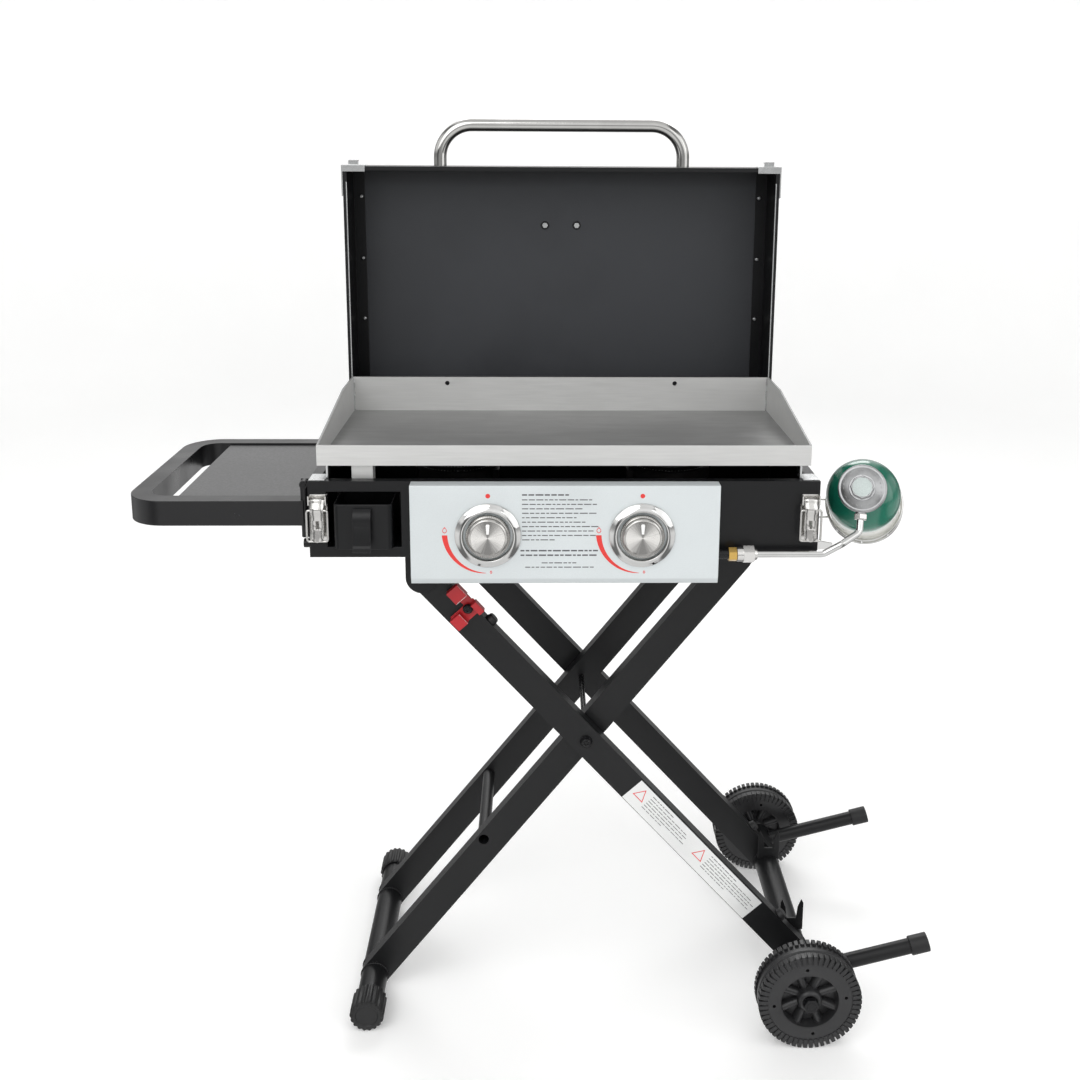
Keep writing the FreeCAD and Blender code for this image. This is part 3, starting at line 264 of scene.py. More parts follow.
def die_cast(name, colour):
    """Shot-blasted casting: small soft pits, uneven grey."""
    made = Finish(name, colour, 0.42, 1.0)
    pits = made.cells(800)
    cloud = made.noise(60, 4)
    made.tint(cloud, shade(colour, 0.78), shade(colour, 1.12))
    made.vary(cloud, 0.34, 0.52)
    made.relief(made.combine(pits, cloud), 0.08 * MM, 0.6)
    return made.material


def cast_iron(name, colour):
    made = Finish(name, colour, 0.4, 0.5)
    grit = made.noise(700, 5)
    heat = made.noise(24, 4)
    made.tint(heat, shade(colour, 0.6), shade(colour, 1.7))
    made.vary(heat, 0.28, 0.48)
    made.relief(grit, 0.08 * MM, 0.5)
    return made.material


def turned_face(name, colour, centre):
    """A lathe-turned disc about Y: fine rings, and the bright and dark fans of reflection that they give,
    painted into its colour.
    """
    made = Finish(name, colour, 0.24, 0.9, Anisotropic=0.7)
    tangent = made.add("Tangent", direction_type="RADIAL", axis="Y")
    made.link(tangent.outputs["Tangent"], made.shader.inputs["Tangent"])
    spot = made.axes()
    across = made.combine(spot["X"], centre.x, "SUBTRACT")
    over = made.combine(spot["Z"], centre.z, "SUBTRACT")
    angle = made.combine(over, across, "ARCTAN2")
    # painted reflection: bright and dark fans and fine streaks round the centre, set into the base colour
    painted_reflection_fan = made.combine(made.combine(angle, 2, "MULTIPLY"), 0, "COSINE")
    painted_reflection_streaks = made.add("TexNoise", Scale=5.5, Detail=3)
    made.link(angle, painted_reflection_streaks.inputs["Vector"])
    both = made.combine(made.remap(painted_reflection_fan, -1, 1, 0, 0.8), made.remap(painted_reflection_streaks.outputs["Fac"], 0.3, 0.7, 0, 0.2))
    made.tint(both, shade(colour, 0.42), shade(colour, 1.45), 0.12, 0.88)
    made.vary(made.noise(90, 3), 0.2, 0.3)
    return made.material


def plate_steel(name):
    """The griddle: smooth pale walls and a darker cooking floor, picked by the way each face points, with
    soft rub marks.
    """
    pale, dark = (0.62, 0.62, 0.61), (0.29, 0.29, 0.287)
    made = Finish(name, pale, 0.42, 0.35, Anisotropic=0.2)
    lines = made.noise(300, 3, (0.06, 1.0, 1.0))
    rubs = made.noise(60, 4, (0.3, 1.0, 0.6), 0.4)
    cloud = made.noise(4.5, 3)
    grain, wear = made.combine(lines, cloud, "MULTIPLY"), made.combine(rubs, cloud, "MULTIPLY")
    walls = made.ramp(grain, shade(pale, 0.93), shade(pale, 1.06), 0.12, 0.42)
    deck = made.ramp(wear, shade(dark, 0.80), shade(dark, 1.18), 0.12, 0.42)
    mix = made.add("Mix", data_type="RGBA")
    # the darker floor colour goes where the face points up, the pale wall colour elsewhere
    made.link(made.remap(made.axes("Normal")["Z"], 0.7, 0.95), mix.inputs["Factor"])
    for socket, colour in zip(colour_sockets(mix.inputs), (walls, deck)):
        made.link(colour, socket)
    made.link(colour_sockets(mix.outputs)[0], made.shader.inputs["Base Color"])
    made.vary(made.combine(lines, rubs, "MULTIPLY"), 0.36, 0.50, 0.12, 0.42)
    made.relief(lines, 0.01 * MM, 0.35)
    return made.material


def flat_ink(name, colour):
    """Screen-printed ink: slightly uneven cover, satin."""
    made = Finish(name, colour, 0.42)
    cover = made.noise(900, 3)
    made.tint(cover, shade(colour, 0.86), shade(colour, 1.08))
    made.vary(cover, 0.36, 0.5)
    made.relief(cover, 0.01 * MM, 0.3)
    return made.material


def lid_coat(name):
    """Charcoal inside the lid, with painted shade fading it to black towards the rim and painted shadow
    along the top; black on the outside.
    """
    black, charcoal = (0.006, 0.0062, 0.007), (0.040, 0.042, 0.047)
    made = Finish(name, charcoal, 0.44, Specular_IOR_Level=0.32)
    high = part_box("lid_shell")[1]
    spot = made.axes()
    # painted shade: the inside darkens to black towards the rim, forward of the back wall
    depth = made.remap(spot["Y"], high.y - 30 * MM, high.y - 4 * MM)
    outside = made.remap(spot["Y"], high.y - 1.2 * MM, high.y - 0.6 * MM, 1.0, 0.0)
    # painted shadow: a dark band along the top of the back wall, under the lid's top
    painted_shadow_under_top = made.remap(spot["Z"], high.z - 34 * MM, high.z - 4 * MM, 1.0, 0.25)
    inside = made.combine(made.combine(depth, outside, "MULTIPLY"), painted_shadow_under_top, "MULTIPLY")
    cloud = made.noise(7, 3)
    uneven = made.remap(cloud, 0.3, 0.7, 0.88, 1.12)
    made.tint(made.combine(inside, uneven, "MULTIPLY"), black, charcoal, 0.0, 1.0)
    made.vary(made.combine(cloud, made.noise(440, 2), "MULTIPLY"), 0.38, 0.52, 0.12, 0.42)
    made.relief(made.noise(1100, 4), 0.05 * MM, 0.6)
    return made.material


FINISH = {
    "frame_black": powder_coat("frame_powder", (0.0085, 0.0087, 0.0093), 0.38),
    "body_black": powder_coat("body_powder", (0.0052, 0.0054, 0.0062), 0.36, 1100, 0.05),
    "lid_black": lid_coat("lid_powder"),
    "shelf_black": moulded("shelf_nylon", (0.0070, 0.0070, 0.0078), 0.32, 900, 0.03),
    "shelf_grey": powder_coat("shelf_grey_paint", (0.118, 0.118, 0.119), 0.42, 800, 0.03),
    "black_steel": powder_coat("black_oxide", (0.007, 0.007, 0.0078), 0.26, 500, 0.03),
    "black_rubber": moulded("rubber_grain", (0.012, 0.012, 0.0127), 0.5, 500, 0.08),
    "wheel_plastic": moulded("wheel_grain", (0.021, 0.021, 0.022), 0.33, 900, 0.05),
    "tread_plastic": moulded("tread_grain", (0.018, 0.018, 0.019), 0.36, 600, 0.08),
    "red_paint": enamel("red_gloss", (0.40, 0.008, 0.014), 0.34, 0.04),
    "zinc_steel": plated("zinc_bright", (0.66, 0.67, 0.67), 0.24),
    "latch_steel": plated("stamped_bright", (0.70, 0.69, 0.67), 0.2),
    "polished_steel": plated("polished_tube", (0.56, 0.555, 0.54), 0.10),
    "bright_chrome": plated("chrome_bright", (0.72, 0.72, 0.71), 0.07),
    "panel_silver": silver_paint("panel_paint", (0.66, 0.70, 0.71), 0.38),
    "knob_metal": plated("knob_turned", (0.60, 0.59, 0.57), 0.16),
    "brass_metal": plated("brass_machined", (0.72, 0.47, 0.14), 0.2),
    "nickel_plate": plated("nickel_bright", (0.80, 0.79, 0.77), 0.2),
    "burner_iron": cast_iron("burner_scale", (0.020, 0.019, 0.019)),
    "die_cast": die_cast("cast_grey", (0.50, 0.505, 0.51)),
    "green_paint": enamel("green_enamel", (0.008, 0.135, 0.085)),
    "brushed_plate": plate_steel("griddle_steel"),
}
red_ink = flat_ink("red_ink", (0.72, 0.035, 0.03))
grey_ink = flat_ink("grey_ink", (0.10, 0.10, 0.105))
# white print for the knob pointers, also the painted highlights on the fold catch's tab edges
white_print_and_highlight = flat_ink("white_print_and_highlight", (0.86, 0.86, 0.85))
cream_label = enamel("cream_label", (0.60, 0.60, 0.54), 0.25, 0.3)
silver_label = silver_paint("silver_label", (0.80, 0.805, 0.80), 0.4)
pale_cap = flat_ink("pale_cap", (0.52, 0.58, 0.565))


# ---------------------------------------------------------------- making pieces

def finished(
    name, bm, body, slot, material=None, stands_for=(), bevel=0.0, segments=2, sharp=35, place=None
):
    """Turn a bmesh into a piece that rides on a body."""
    mesh = bpy.data.meshes.new(name)
    if place is not None:
        bm.transform(place)
    bmesh.ops.recalc_face_normals(bm, faces=bm.faces)
    bm.to_mesh(mesh)
    bm.free()
    mesh.shade_smooth()
    mesh.set_sharp_from_angle(angle=math.radians(sharp))
    for extra in material if isinstance(material, list) else [material or FINISH[slot]]:
        mesh.materials.append(extra)
    piece = bpy.data.objects.new(name, mesh)
    bpy.context.scene.collection.objects.link(piece)
    if bevel:
        edge = piece.modifiers.new("Edges", "BEVEL")
        edge.width = bevel * MM
        edge.segments = segments
        edge.limit_method = "ANGLE"
        edge.angle_limit = math.radians(sharp)
        edge.harden_normals = True
        flats = piece.modifiers.new("Flats", "WEIGHTED_NORMAL")
        flats.weight = 100
        flats.keep_sharp = True
    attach(piece, body)
    if stands_for:
        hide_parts(*stands_for)
    return piece


def body_of_node(node):
    return frame["nodes"][node]["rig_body"]


def slot_of_node(node):
    return next(part["material_slot"] for part in frame["record"]["subparts"] if part["node"] == node)


def refined(node, bevel, segments=2, material=None, sharp=35):
    """The node's own shape, its flats merged and its edges broken by a small bevel."""
    bm = bmesh.new()
    bm.from_mesh(frame["nodes"][node].data)
    bmesh.ops.remove_doubles(bm, verts=bm.verts, dist=0.004 * MM)
    bmesh.ops.dissolve_limit(
        bm, angle_limit=math.radians(0.6), verts=bm.verts, edges=bm.edges, delimit={"NORMAL"}
    )
    for layers in (bm.loops.layers.uv, bm.loops.layers.float_vector, bm.verts.layers.float_vector):
        for layer in list(layers.values()):
            layers.remove(layer)
    return finished(
        node + "_skin", bm, body_of_node(node), slot_of_node(node), material=material, stands_for=[node],
        bevel=bevel, segments=segments, sharp=sharp,
    )


def toward(direction):
    """The turn that takes +Z to a direction."""
    return Z.rotation_difference(Vector(direction).normalized()).to_matrix().to_4x4()


def at(place, direction=Z):
    return Matrix.Translation(place) @ toward(direction)


def lathe(profile, steps=96, materials=None):
    """A surface turned about +Z from (radius, height) points in millimetres."""
    bm = bmesh.new()
    rings = []
    for radius, height in profile:
        count = steps if radius > 1e-6 else 1
        turn = [2 * math.pi * n / steps for n in range(count)]
        ring = [Vector((radius * math.cos(a), radius * math.sin(a), height)) * MM for a in turn]
        rings.append([bm.verts.new(point) for point in ring])
    for row, (lower, upper) in enumerate(zip(rings, rings[1:])):
        for n in range(steps):
            m = (n + 1) % steps
            below = [lower[n % len(lower)], lower[m % len(lower)]]
            above = [upper[m % len(upper)], upper[n % len(upper)]]
            corners = list(dict.fromkeys(below + above))
            if len(corners) > 2:
                face = bm.faces.new(corners)
                face.material_index = materials[row] if materials else 0
    return bm


def closed(bm):
    """Weld the seam of an outline that ends where it starts."""
    bmesh.ops.remove_doubles(bm, verts=bm.verts, dist=0.01 * MM)
    return bm


def join(bm, other, place):
    """Move another bmesh to its place and add it to this one."""
    other.transform(place)
    mesh = bpy.data.meshes.new("joined")
    other.to_mesh(mesh)
    other.free()
    bm.from_mesh(mesh)
    bpy.data.meshes.remove(mesh)


def skin(bm, rings, loop=False):
    """Faces between rings of vertices, and over both ends unless the last ring meets the first."""
    following = rings[1:] + rings[:1] if loop else rings[1:]
    for one, two in zip(rings, following):
        for k in range(len(one)):
            m = (k + 1) % len(one)
            bm.faces.new((one[k], two[k], two[m], one[m]))
    if not loop:
        bm.faces.new(rings[0][::-1])
        bm.faces.new(rings[-1])


def add_block(bm, size, place):
    """A block into a bmesh; size in millimetres."""
    made = bmesh.ops.create_cube(bm, size=1.0)["verts"]
    for vertex in made:
        vertex.co = place @ (vertex.co * Vector(size) * MM)


# ---------------------------------------------------------------- pieces kept from the frame

BEVELS = {
    "outer_leg_front": 1.8, "outer_leg_rear": 1.8, "inner_leg_front": 1.8, "inner_leg_rear": 1.8,
    "firebox": 0.5, "control_panel": 0.6, "hub_brackets": 0.6, "saddle_brackets": 0.6,
    "corner_brackets": 0.5, "hinge_arms": 0.5, "lid_hinge_ears": 0.5, "shelf_mounts": 0.5,
    "griddle_plate": 1.3, "grease_chute": 0.4, "lid_shell": 0.5, "lid_sides": 0.5, "lid_catches": 0.5,
    "shelf_frame": 3.2, "shelf_panel": 0.8, "axle_forks": 0.7, "latch_bases": 0.4,
    "stand_caps": 0.7, "leg_bumpers": 1.0,
    "union_nut": 0.5, "inlet_fitting": 0.4, "axle_nuts": 0.5, "badge_plate": 0.3, "lid_rivets": 0.5,
    "grease_cup": 1.2, "stand_tubes": 0.4, "axle_tube": 0.5, "foot_tube": 0.5,
    "burner_left": 1.2, "burner_right": 1.2, "saddle_pins": 0.5, "gas_valves": 0.5,
}
for node, width in BEVELS.items():
    refined(node, width)
for node, shape in frame["nodes"].items():
    shape.data.materials.clear()
    shape.data.materials.append(FINISH[slot_of_node(node)])


# ---------------------------------------------------------------- wheels

def wheel(which, outward):
    """Moulded wheel: block tread, plain rim face with four holes, eight round spokes and a hub."""
    tyre, rim, body = "tyre_" + which, "wheel_" + which, which + "_wheel"
    place = at(middle(tyre), outward)
    radius, half = span(tyre).z / 2 / MM, span(tyre).y / 2 / MM
    bore = radius - 10.5
    core = radius - 3.2
    profile = [
        (bore, 1 - half), (bore + 1.2, 1.2 - half), (core - 3.5, 1.4 - half), (core - 1.2, 2.6 - half),
        (core, 5.2 - half), (core, -4.2), (core + 1.6, -3), (core + 1.6, 3), (core, 4.2),
        (core, half - 5.2), (core - 1.2, half - 2.6), (core - 3.5, half - 1.4), (bore + 1.2, half - 1.2),
        (bore, half - 1), (bore, 1 - half),
    ]
    bm = closed(lathe(profile, 144))
    lugs = 54
    for side, offset in ((1, 0.0), (-1, 0.5)):
        for n in range(lugs):
            turn = Matrix.Rotation(2 * math.pi * (n + offset) / lugs, 4, "Z")
            lug = turn @ Matrix.Translation(Vector((radius - 6.6, 0, side * (half - 4.9))) * MM)
            add_block(bm, (9.6, 5.5, 12.8), lug @ Matrix.Rotation(math.pi / 2, 4, "Y"))
    finished(
        tyre + "_skin", bm, body, "tread_plastic", stands_for=[tyre], bevel=0.55, sharp=40, place=place
    )

    face = half - 1.6
    recess, web = 39.0, 2.0
    shell = [
        (bore - 0.2, -face), (recess + 2, -face), (recess + 0.6, 0.6 - face), (recess, 2.2 - face),
        (recess - 1.5, -web), (15, -web), (15, web), (recess - 1.5, web), (recess, face - 2.2),
        (recess + 0.6, face - 0.6), (recess + 2, face), (bore - 0.2, face), (bore - 0.2, -face),
    ]
    disc = finished(
        rim + "_skin", closed(lathe(shell, 144)), body, "wheel_plastic", stands_for=[rim], sharp=30,
        place=place,
    )
    drills = bmesh.new()
    for n in range(4):
        turn = Matrix.Rotation(math.pi * n / 2 + 0.12, 4, "Z")
        hole = turn @ Matrix.Translation(Vector((49.5, 0, 0)) * MM)
        size = {"radius1": 2.4 * MM, "radius2": 2.4 * MM, "depth": 3 * half * MM}
        bmesh.ops.create_cone(drills, cap_ends=True, segments=24, matrix=hole, **size)
    drilled(disc, drills, place)

    hub = bmesh.new()
    for n in range(8):
        turn = Matrix.Rotation(2 * math.pi * (n + 0.5) / 8, 4, "Z")
        spoke = turn @ Matrix.Translation(Vector((25.5, 0, 0)) * MM) @ Matrix.Rotation(math.pi / 2, 4, "Y")
        made = bmesh.ops.create_cone(
            hub, cap_ends=True, segments=28, radius1=5.6 * MM, radius2=7.4 * MM, depth=32 * MM
        )["verts"]
        for vertex in made:
            vertex.co = spoke @ Vector((vertex.co.x * 1.75, vertex.co.y, vertex.co.z))
    finished(rim + "_spokes", hub, body, "wheel_plastic", sharp=40, place=place)
    boss = [
        (6.6, -half), (12.5, -half), (15.2, 1.6 - half), (17.0, 5.5 - half), (17.4, 0), (17.0, half - 5.5),
        (15.2, half - 1.6), (12.5, half), (10.6, half), (10.0, half - 3.5), (6.6, half - 3.5), (6.6, -half),
    ]
    finished(rim + "_hub", closed(lathe(boss, 96)), body, "wheel_plastic", bevel=0.5, sharp=40, place=place)


def drilled(piece, cutter, place):
    """Cut a piece with a bmesh of drills, and keep the result as its mesh."""
    cutter.transform(place)
    mesh = bpy.data.meshes.new("drills")
    cutter.to_mesh(mesh)
    cutter.free()
    tool = bpy.data.objects.new("drills", mesh)
    bpy.context.scene.collection.objects.link(tool)
    holes = piece.modifiers.new("Holes", "BOOLEAN")
    holes.operation = "DIFFERENCE"
    holes.solver = "EXACT"
    holes.object = tool
    bpy.context.view_layer.update()
    done = bpy.data.meshes.new_from_object(piece.evaluated_get(bpy.context.evaluated_depsgraph_get()))
    piece.modifiers.clear()
    piece.data = done
    bpy.data.objects.remove(tool)


wheel("front", -Y)
wheel("rear", Y)


# ---------------------------------------------------------------- knobs and panel marks

def bezels():
    """Polished dishes round the knobs, as one piece."""
    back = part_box("knob_bezels")[1].y
    profile = [
        (42.5, 0), (42.5, 1.4), (42.2, 2.4), (41.4, 3.2), (40.2, 3.8), (38.4, 5.6), (36.4, 6.9), (34.6, 7.7),
        (33.6, 8.0), (32.8, 7.9), (32.2, 7.3), (31.8, 6.2), (31.4, 2.0), (31.2, 0), (42.5, 0),
    ]
    bm = bmesh.new()
    for side in ("left", "right"):
        centre = middle("knob_" + side)
        join(bm, closed(lathe(profile, 128)), at(Vector((centre.x, back, centre.z)), -Y))
    finished("knob_bezels_skin", bm, "grill_body", "bright_chrome", stands_for=["knob_bezels"], sharp=50)


def knob(side):
    """Turned metal knob: skirt, knurled shoulder, bright lip and a lathe-turned face."""
    node, body = "knob_" + side, side + "_knob"
    low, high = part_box(node)
    centre = middle(node)
    depth = (high.y - low.y) / MM
    face_drop = 1.2
    place = at(Vector((centre.x, high.y, centre.z)), -Y)
    face = turned_face("turned_face_" + side, (0.60, 0.59, 0.57), centre)
    profile = [
        (24.5, 0), (27.8, 0.3), (28.4, 0.9), (28.4, 3.4), (27.9, 4.2), (26.4, 4.6), (25.9, 4.9), (25.6, 5.4),
        (25.2, depth - 2.2), (24.4, depth - 0.6), (23.4, depth), (22.4, depth - 0.2),
        (21.7, depth - face_drop), (0, depth - face_drop),
    ]
    bm = lathe(profile, 128, [0] * 12 + [1])
    ridges = 72
    for n in range(ridges):
        turn = Matrix.Rotation(2 * math.pi * n / ridges, 4, "Z")
        slope = Matrix.Rotation(math.radians(62), 4, "Y")
        ridge = turn @ Matrix.Translation(Vector((27.0, 0, 4.4)) * MM) @ slope
        add_block(bm, (0.8, 1.2, 2.6), ridge)
    finished(
        node + "_skin", bm, body, "knob_metal", material=[FINISH["knob_metal"], face], stands_for=[node],
        sharp=38, place=place,
    )
    arrow = [(-1.5, 5.2), (1.5, 5.2), (2.5, 17.2), (1.6, 18.6), (-1.6, 18.6), (-2.5, 17.2)]
    pointer = outline_sheet([arrow], 0.3)
    pointer.transform(Matrix.Translation((centre.x, low.y + face_drop * MM, centre.z)))
    finished(
        node + "_pointer", pointer, body, "knob_metal", material=white_print_and_highlight, bevel=0.12, segments=1,
        sharp=50,
    )


def outline_sheet(outlines, thick):
    """Thin raised shapes in the XZ plane, facing -Y; corners in millimetres."""
    bm = bmesh.new()
    for corners in outlines:
        back = [bm.verts.new(Vector((u, 0, v)) * MM) for u, v in corners]
        front = [bm.verts.new(Vector((u, -thick, v)) * MM) for u, v in corners]
        bm.faces.new(front)
        bm.faces.new(back[::-1])
        for n in range(len(corners)):
            m = (n + 1) % len(corners)
            bm.faces.new((back[n], back[m], front[m], front[n]))
    return bm


def flame_outline(u, v, height):
    """The outline stroke of a small drop-shaped flame, in two halves."""
    stroke = 0.75
    halves = []
    for sign in (-1, 1):
        outer, inner = [], []
        for n in range(13):
            t = n / 12
            width = 0.36 * height * math.sin(math.pi * min(1.0, t * 1.08)) ** 0.8 * (1.25 - 0.75 * t)
            lift = height * t
            outer.append((u + sign * max(width, 0.0), v + lift))
            inner.append((u + sign * max(width - stroke, 0.0), v + stroke + (height - 2.2 * stroke) * t))
        halves.append(outer + inner[::-1])
    return halves


def knob_marks(side):
    """Red dot for off, a tapering red sweep for the flame, and a large and a small flame."""
    centre = middle("knob_" + side)
    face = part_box("knob_bezels")[1].y
    dot_radius, dot_height = 3.0, 52
    turns = [2 * math.pi * n / 32 for n in range(32)]
    marks = [[(dot_radius * math.cos(a), dot_height + dot_radius * math.sin(a)) for a in turns]]
    outer, inner = [], []
    for n in range(33):
        t = n / 32
        turn = math.radians(180 + 87 * t)
        reach = 58.9 - 8.0 * t
        thick = 6.8 * (1 - t) ** 0.85 + 0.25
        outer.append((reach * math.cos(turn), reach * math.sin(turn)))
        inner.append(((reach - thick) * math.cos(turn), (reach - thick) * math.sin(turn)))
    marks.append(outer + inner[::-1])
    marks += flame_outline(-55.3, 2.6, 9.0)
    marks += flame_outline(3.4, -51.6, 4.6)
    bm = outline_sheet(marks, 0.16)
    bm.transform(Matrix.Translation((centre.x, face, centre.z)))
    finished(f"{side}_knob_marks", bm, "grill_body", "panel_silver", material=red_ink)


def printed_rows(rows, left, right, thick=0.14):
    """Plain bars where a maker would print words: (height, bar height, indent, share of the width)."""
    shortest, longest, gap = 3.2, 10.5, 1.7
    bars = []
    for level, tall, indent, fill in rows:
        u = left + indent
        stop = left + (right - left) * fill
        while u < stop - 3:
            end = min(u + random.uniform(shortest, longest), stop)
            bars.append([(u, level), (end, level), (end, level + tall), (u, level + tall)])
            u = end + gap
    return outline_sheet(bars, thick)


def panel_print():
    """A block of plain grey bars between the knobs, in place of printed directions."""
    centre = (middle("knob_left") + middle("knob_right")) / 2
    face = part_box("knob_bezels")[1].y
    left, right = -55, 44
    rows = [(52.6, 1.9, 0, 0.62)]
    for n, fill in enumerate((0.9, 0.96, 0.8, 0.98, 0.7, 0.86, 1.0, 0.92, 0.95, 0.42)):
        rows.append((46.4 - 5.9 * n, 1.25, 0, fill))
    rows += [(-21.5, 1.9, -2, 0.98), (-27.6, 1.9, -2, 1.0), (-37.6, 1.2, 25, 0.72), (-43.4, 1.2, 4, 0.93)]
    bm = printed_rows(rows, left, right)
    bm.transform(Matrix.Translation((centre.x, face, centre.z)))
    finished("panel_print", bm, "grill_body", "panel_silver", material=grey_ink)


bezels()
for side in ("left", "right"):
    knob(side)
    knob_marks(side)
panel_print()


# ---------------------------------------------------------------- label on the front leg

def leg_turn():
    """Axes with +X down the front outer leg, +Y to the back and +Z square to both."""
    run = joint_place("front_wheel_spin") - joint_place("cart_fold")
    along = Vector((run.x, 0, run.z)).normalized()
    return Matrix((along, Y, Vector((-along.z, 0, along.x)))).transposed().to_4x4()


def leg_label():
    """A long silver label with plain grey bars and two empty red outlines."""
    hub = joint_place("cart_fold")
    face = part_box("outer_leg_front")[0].y
    place = Matrix.Translation((hub.x, face, hub.z)) @ leg_turn()
    start, end, under, over_edge = 426, 687, -19.3, 17.6
    sheet = outline_sheet([[(start, under), (end, under), (end, over_edge), (start, over_edge)]], 0.2)
    finished(
        "leg_label", sheet, "outer_frame", "panel_silver", material=silver_label, bevel=0.1, segments=1,
        sharp=50, place=place,
    )
    rows = [
        (12.2, 1.0, 30, 0.62), (7.6, 0.9, 30, 0.9), (3.4, 0.9, 30, 0.97), (-0.8, 0.9, 30, 0.94),
        (-5.0, 0.9, 30, 0.98), (-9.2, 0.9, 30, 0.6),
    ]
    lift = Matrix.Translation((0, -0.05 * MM, 0))
    for name, left, right in (("upper", start, start + 118), ("lower", start + 126, end)):
        finished(
            "leg_label_print_" + name, printed_rows(rows, left, right, 0.3), "outer_frame", "panel_silver",
            material=grey_ink, sharp=50, place=place @ lift,
        )
    signs = []
    size, stroke = 11.5, 1.1
    inside = size - 2 * stroke
    turns = [math.radians(degrees) for degrees in (-30, 90, 210)]
    for u in (start + 16, start + 142):
        outer = [(u + size * math.cos(a), size * math.sin(a) + 1) for a in turns]
        inner = [(u + inside * math.cos(a), inside * math.sin(a) + 1) for a in turns]
        for n in range(3):
            m = (n + 1) % 3
            signs.append([outer[n], outer[m], inner[m], inner[n]])
    marks = outline_sheet(signs, 0.3)
    finished(
        "leg_label_signs", marks, "outer_frame", "panel_silver", material=red_ink, sharp=50,
        place=place @ lift,
    )


leg_label()


# ---------------------------------------------------------------- ribbed foot caps and weld beads

def foot_caps():
    """Rubber end caps with lengthwise ribs."""
    low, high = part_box("foot_caps")
    radius = (high.z - low.z) / 2 / MM
    length = 38
    profile = [
        (radius - 4, 0), (radius - 1.4, 0), (radius, 1.4), (radius, length - 3),
        (radius - 0.9, length - 0.9),
        (radius - 3, length), (radius - 8, length), (radius - 9, length - 1.2), (0, length - 1.2),
    ]
    for name, end, way in (("front", low.y, -Y), ("rear", high.y, Y)):
        bm = lathe(profile, 144)
        for vertex in bm.verts:
            reach = math.hypot(vertex.co.x, vertex.co.y)
            if reach > (radius - 3.5) * MM:
                turn = math.atan2(vertex.co.y, vertex.co.x)
                wave = max(-1.0, min(1.0, 2.2 * math.cos(18 * turn)))
                vertex.co.x *= 1 - 0.038 * (1 - wave)
                vertex.co.y *= 1 - 0.038 * (1 - wave)
        centre = middle("foot_caps")
        start = Vector((centre.x, end, centre.z)) - way * length * MM
        stands_for = ["foot_caps"] if name == "front" else []
        finished(
            f"foot_cap_{name}", bm, "inner_frame", "black_rubber", stands_for=stands_for, sharp=40,
            place=at(start, way),
        )


def weld_ring(name, place, way, radius, body, bead=1.7):
    """A rippled bead of weld round a tube."""
    ripples = int(2 * math.pi * radius / 2.6)
    steps = ripples * 5
    bm = bmesh.new()
    rings = []
    for n in range(steps):
        turn = 2 * math.pi * n / steps
        phase = (n % 5) / 5
        thick = bead * (0.78 + 0.3 * math.sin(math.pi * phase)) + 0.12 * math.sin(3 * turn)
        ring = []
        for k in range(8):
            round_turn = 2 * math.pi * k / 8
            reach = radius + thick * math.cos(round_turn)
            ring.append(bm.verts.new(Vector((
                reach * math.cos(turn), reach * math.sin(turn), thick * math.sin(round_turn)
            )) * MM))
        rings.append(ring)
    skin(bm, rings, loop=True)
    finished(name, bm, body, "frame_black", material=FINISH["black_steel"], sharp=60, place=at(place, way))


def frame_welds():
    """Beads where the round tubes pass through the legs, and where the stand tubes leave the axle tube."""
    crossings = (("axle_tube", "outer_leg", "outer_frame"), ("foot_tube", "inner_leg", "inner_frame"))
    for tube_node, leg, body in crossings:
        centre = middle(tube_node)
        radius = span(tube_node).z / 2 / MM
        for which in ("front", "rear"):
            low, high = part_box(f"{leg}_{which}")
            for face, level in (("low", low.y), ("high", high.y)):
                weld_ring(f"weld_{leg}_{which}_{face}", Vector((centre.x, level, centre.z)), Y, radius, body)
    low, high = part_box("stand_tubes")
    rise = math.radians(15)
    way = Vector((math.cos(rise), 0, math.sin(rise)))
    axle = joint_place("front_wheel_spin")
    stand_radius, root = 10.5, 17.5 * MM
    for name, level in (("front", low.y + stand_radius * MM), ("rear", high.y - stand_radius * MM)):
        start = Vector((axle.x, level, axle.z)) + way * root
        weld_ring(f"weld_stand_{name}", start, way, stand_radius + 0.1, "outer_frame", 1.4)


foot_caps()
frame_welds()


# ---------------------------------------------------------------- gas cylinder and regulator

TANK_WAY = -Vector(joints["cylinder_removal"]["axis"]).normalized()
TANK_DOWN = (-Z + TANK_WAY * TANK_WAY.z).normalized()


def tank_turn():
    """Axes with +Z along the cylinder and +X on its downward side."""
    return Matrix((TANK_DOWN, TANK_WAY.cross(TANK_DOWN), TANK_WAY)).transposed().to_4x4()


def gas_cylinder():
    """Enamelled one-pound cylinder: foot ring, pale label band, domed shoulder and collar."""
    start, length = axis_line("gas_cylinder", TANK_WAY)
    top = length / MM
    radius = 49.5
    shoulder = top - 44
    profile = [
        (0, 5), (radius - 15, 4.4), (radius - 11.5, 2.2), (radius - 9, 0.2), (radius - 5, 0),
        (radius - 2.4, 1.6),
        (radius - 0.6, 5.2), (radius - 0.2, 7), (radius, 9), (radius, 12), (radius, 15), (radius, 133),
        (radius, 136), (radius, 138), (radius, shoulder - 6),
    ]
    bands = [0] * 8 + [1, 0, 1, 0, 1, 0]
    steps = 16
    for n in range(1, steps + 1):
        turn = math.radians(90 * n / steps)
        profile.append((13.6 + (radius - 13.6) * math.cos(turn), shoulder - 6 + 38 * math.sin(turn)))
        bands.append(0)
    profile += [(13.4, top - 9), (13, top - 1), (12, top), (0, top)]
    bands += [0, 2, 2, 2]
    bm = lathe(profile, 128, bands)
    finished(
        "gas_cylinder_skin", bm, "cylinder", "green_paint",
        material=[FINISH["green_paint"], cream_label, FINISH["zinc_steel"]], stands_for=["gas_cylinder"],
        sharp=40, place=Matrix.Translation(start) @ tank_turn(),
    )


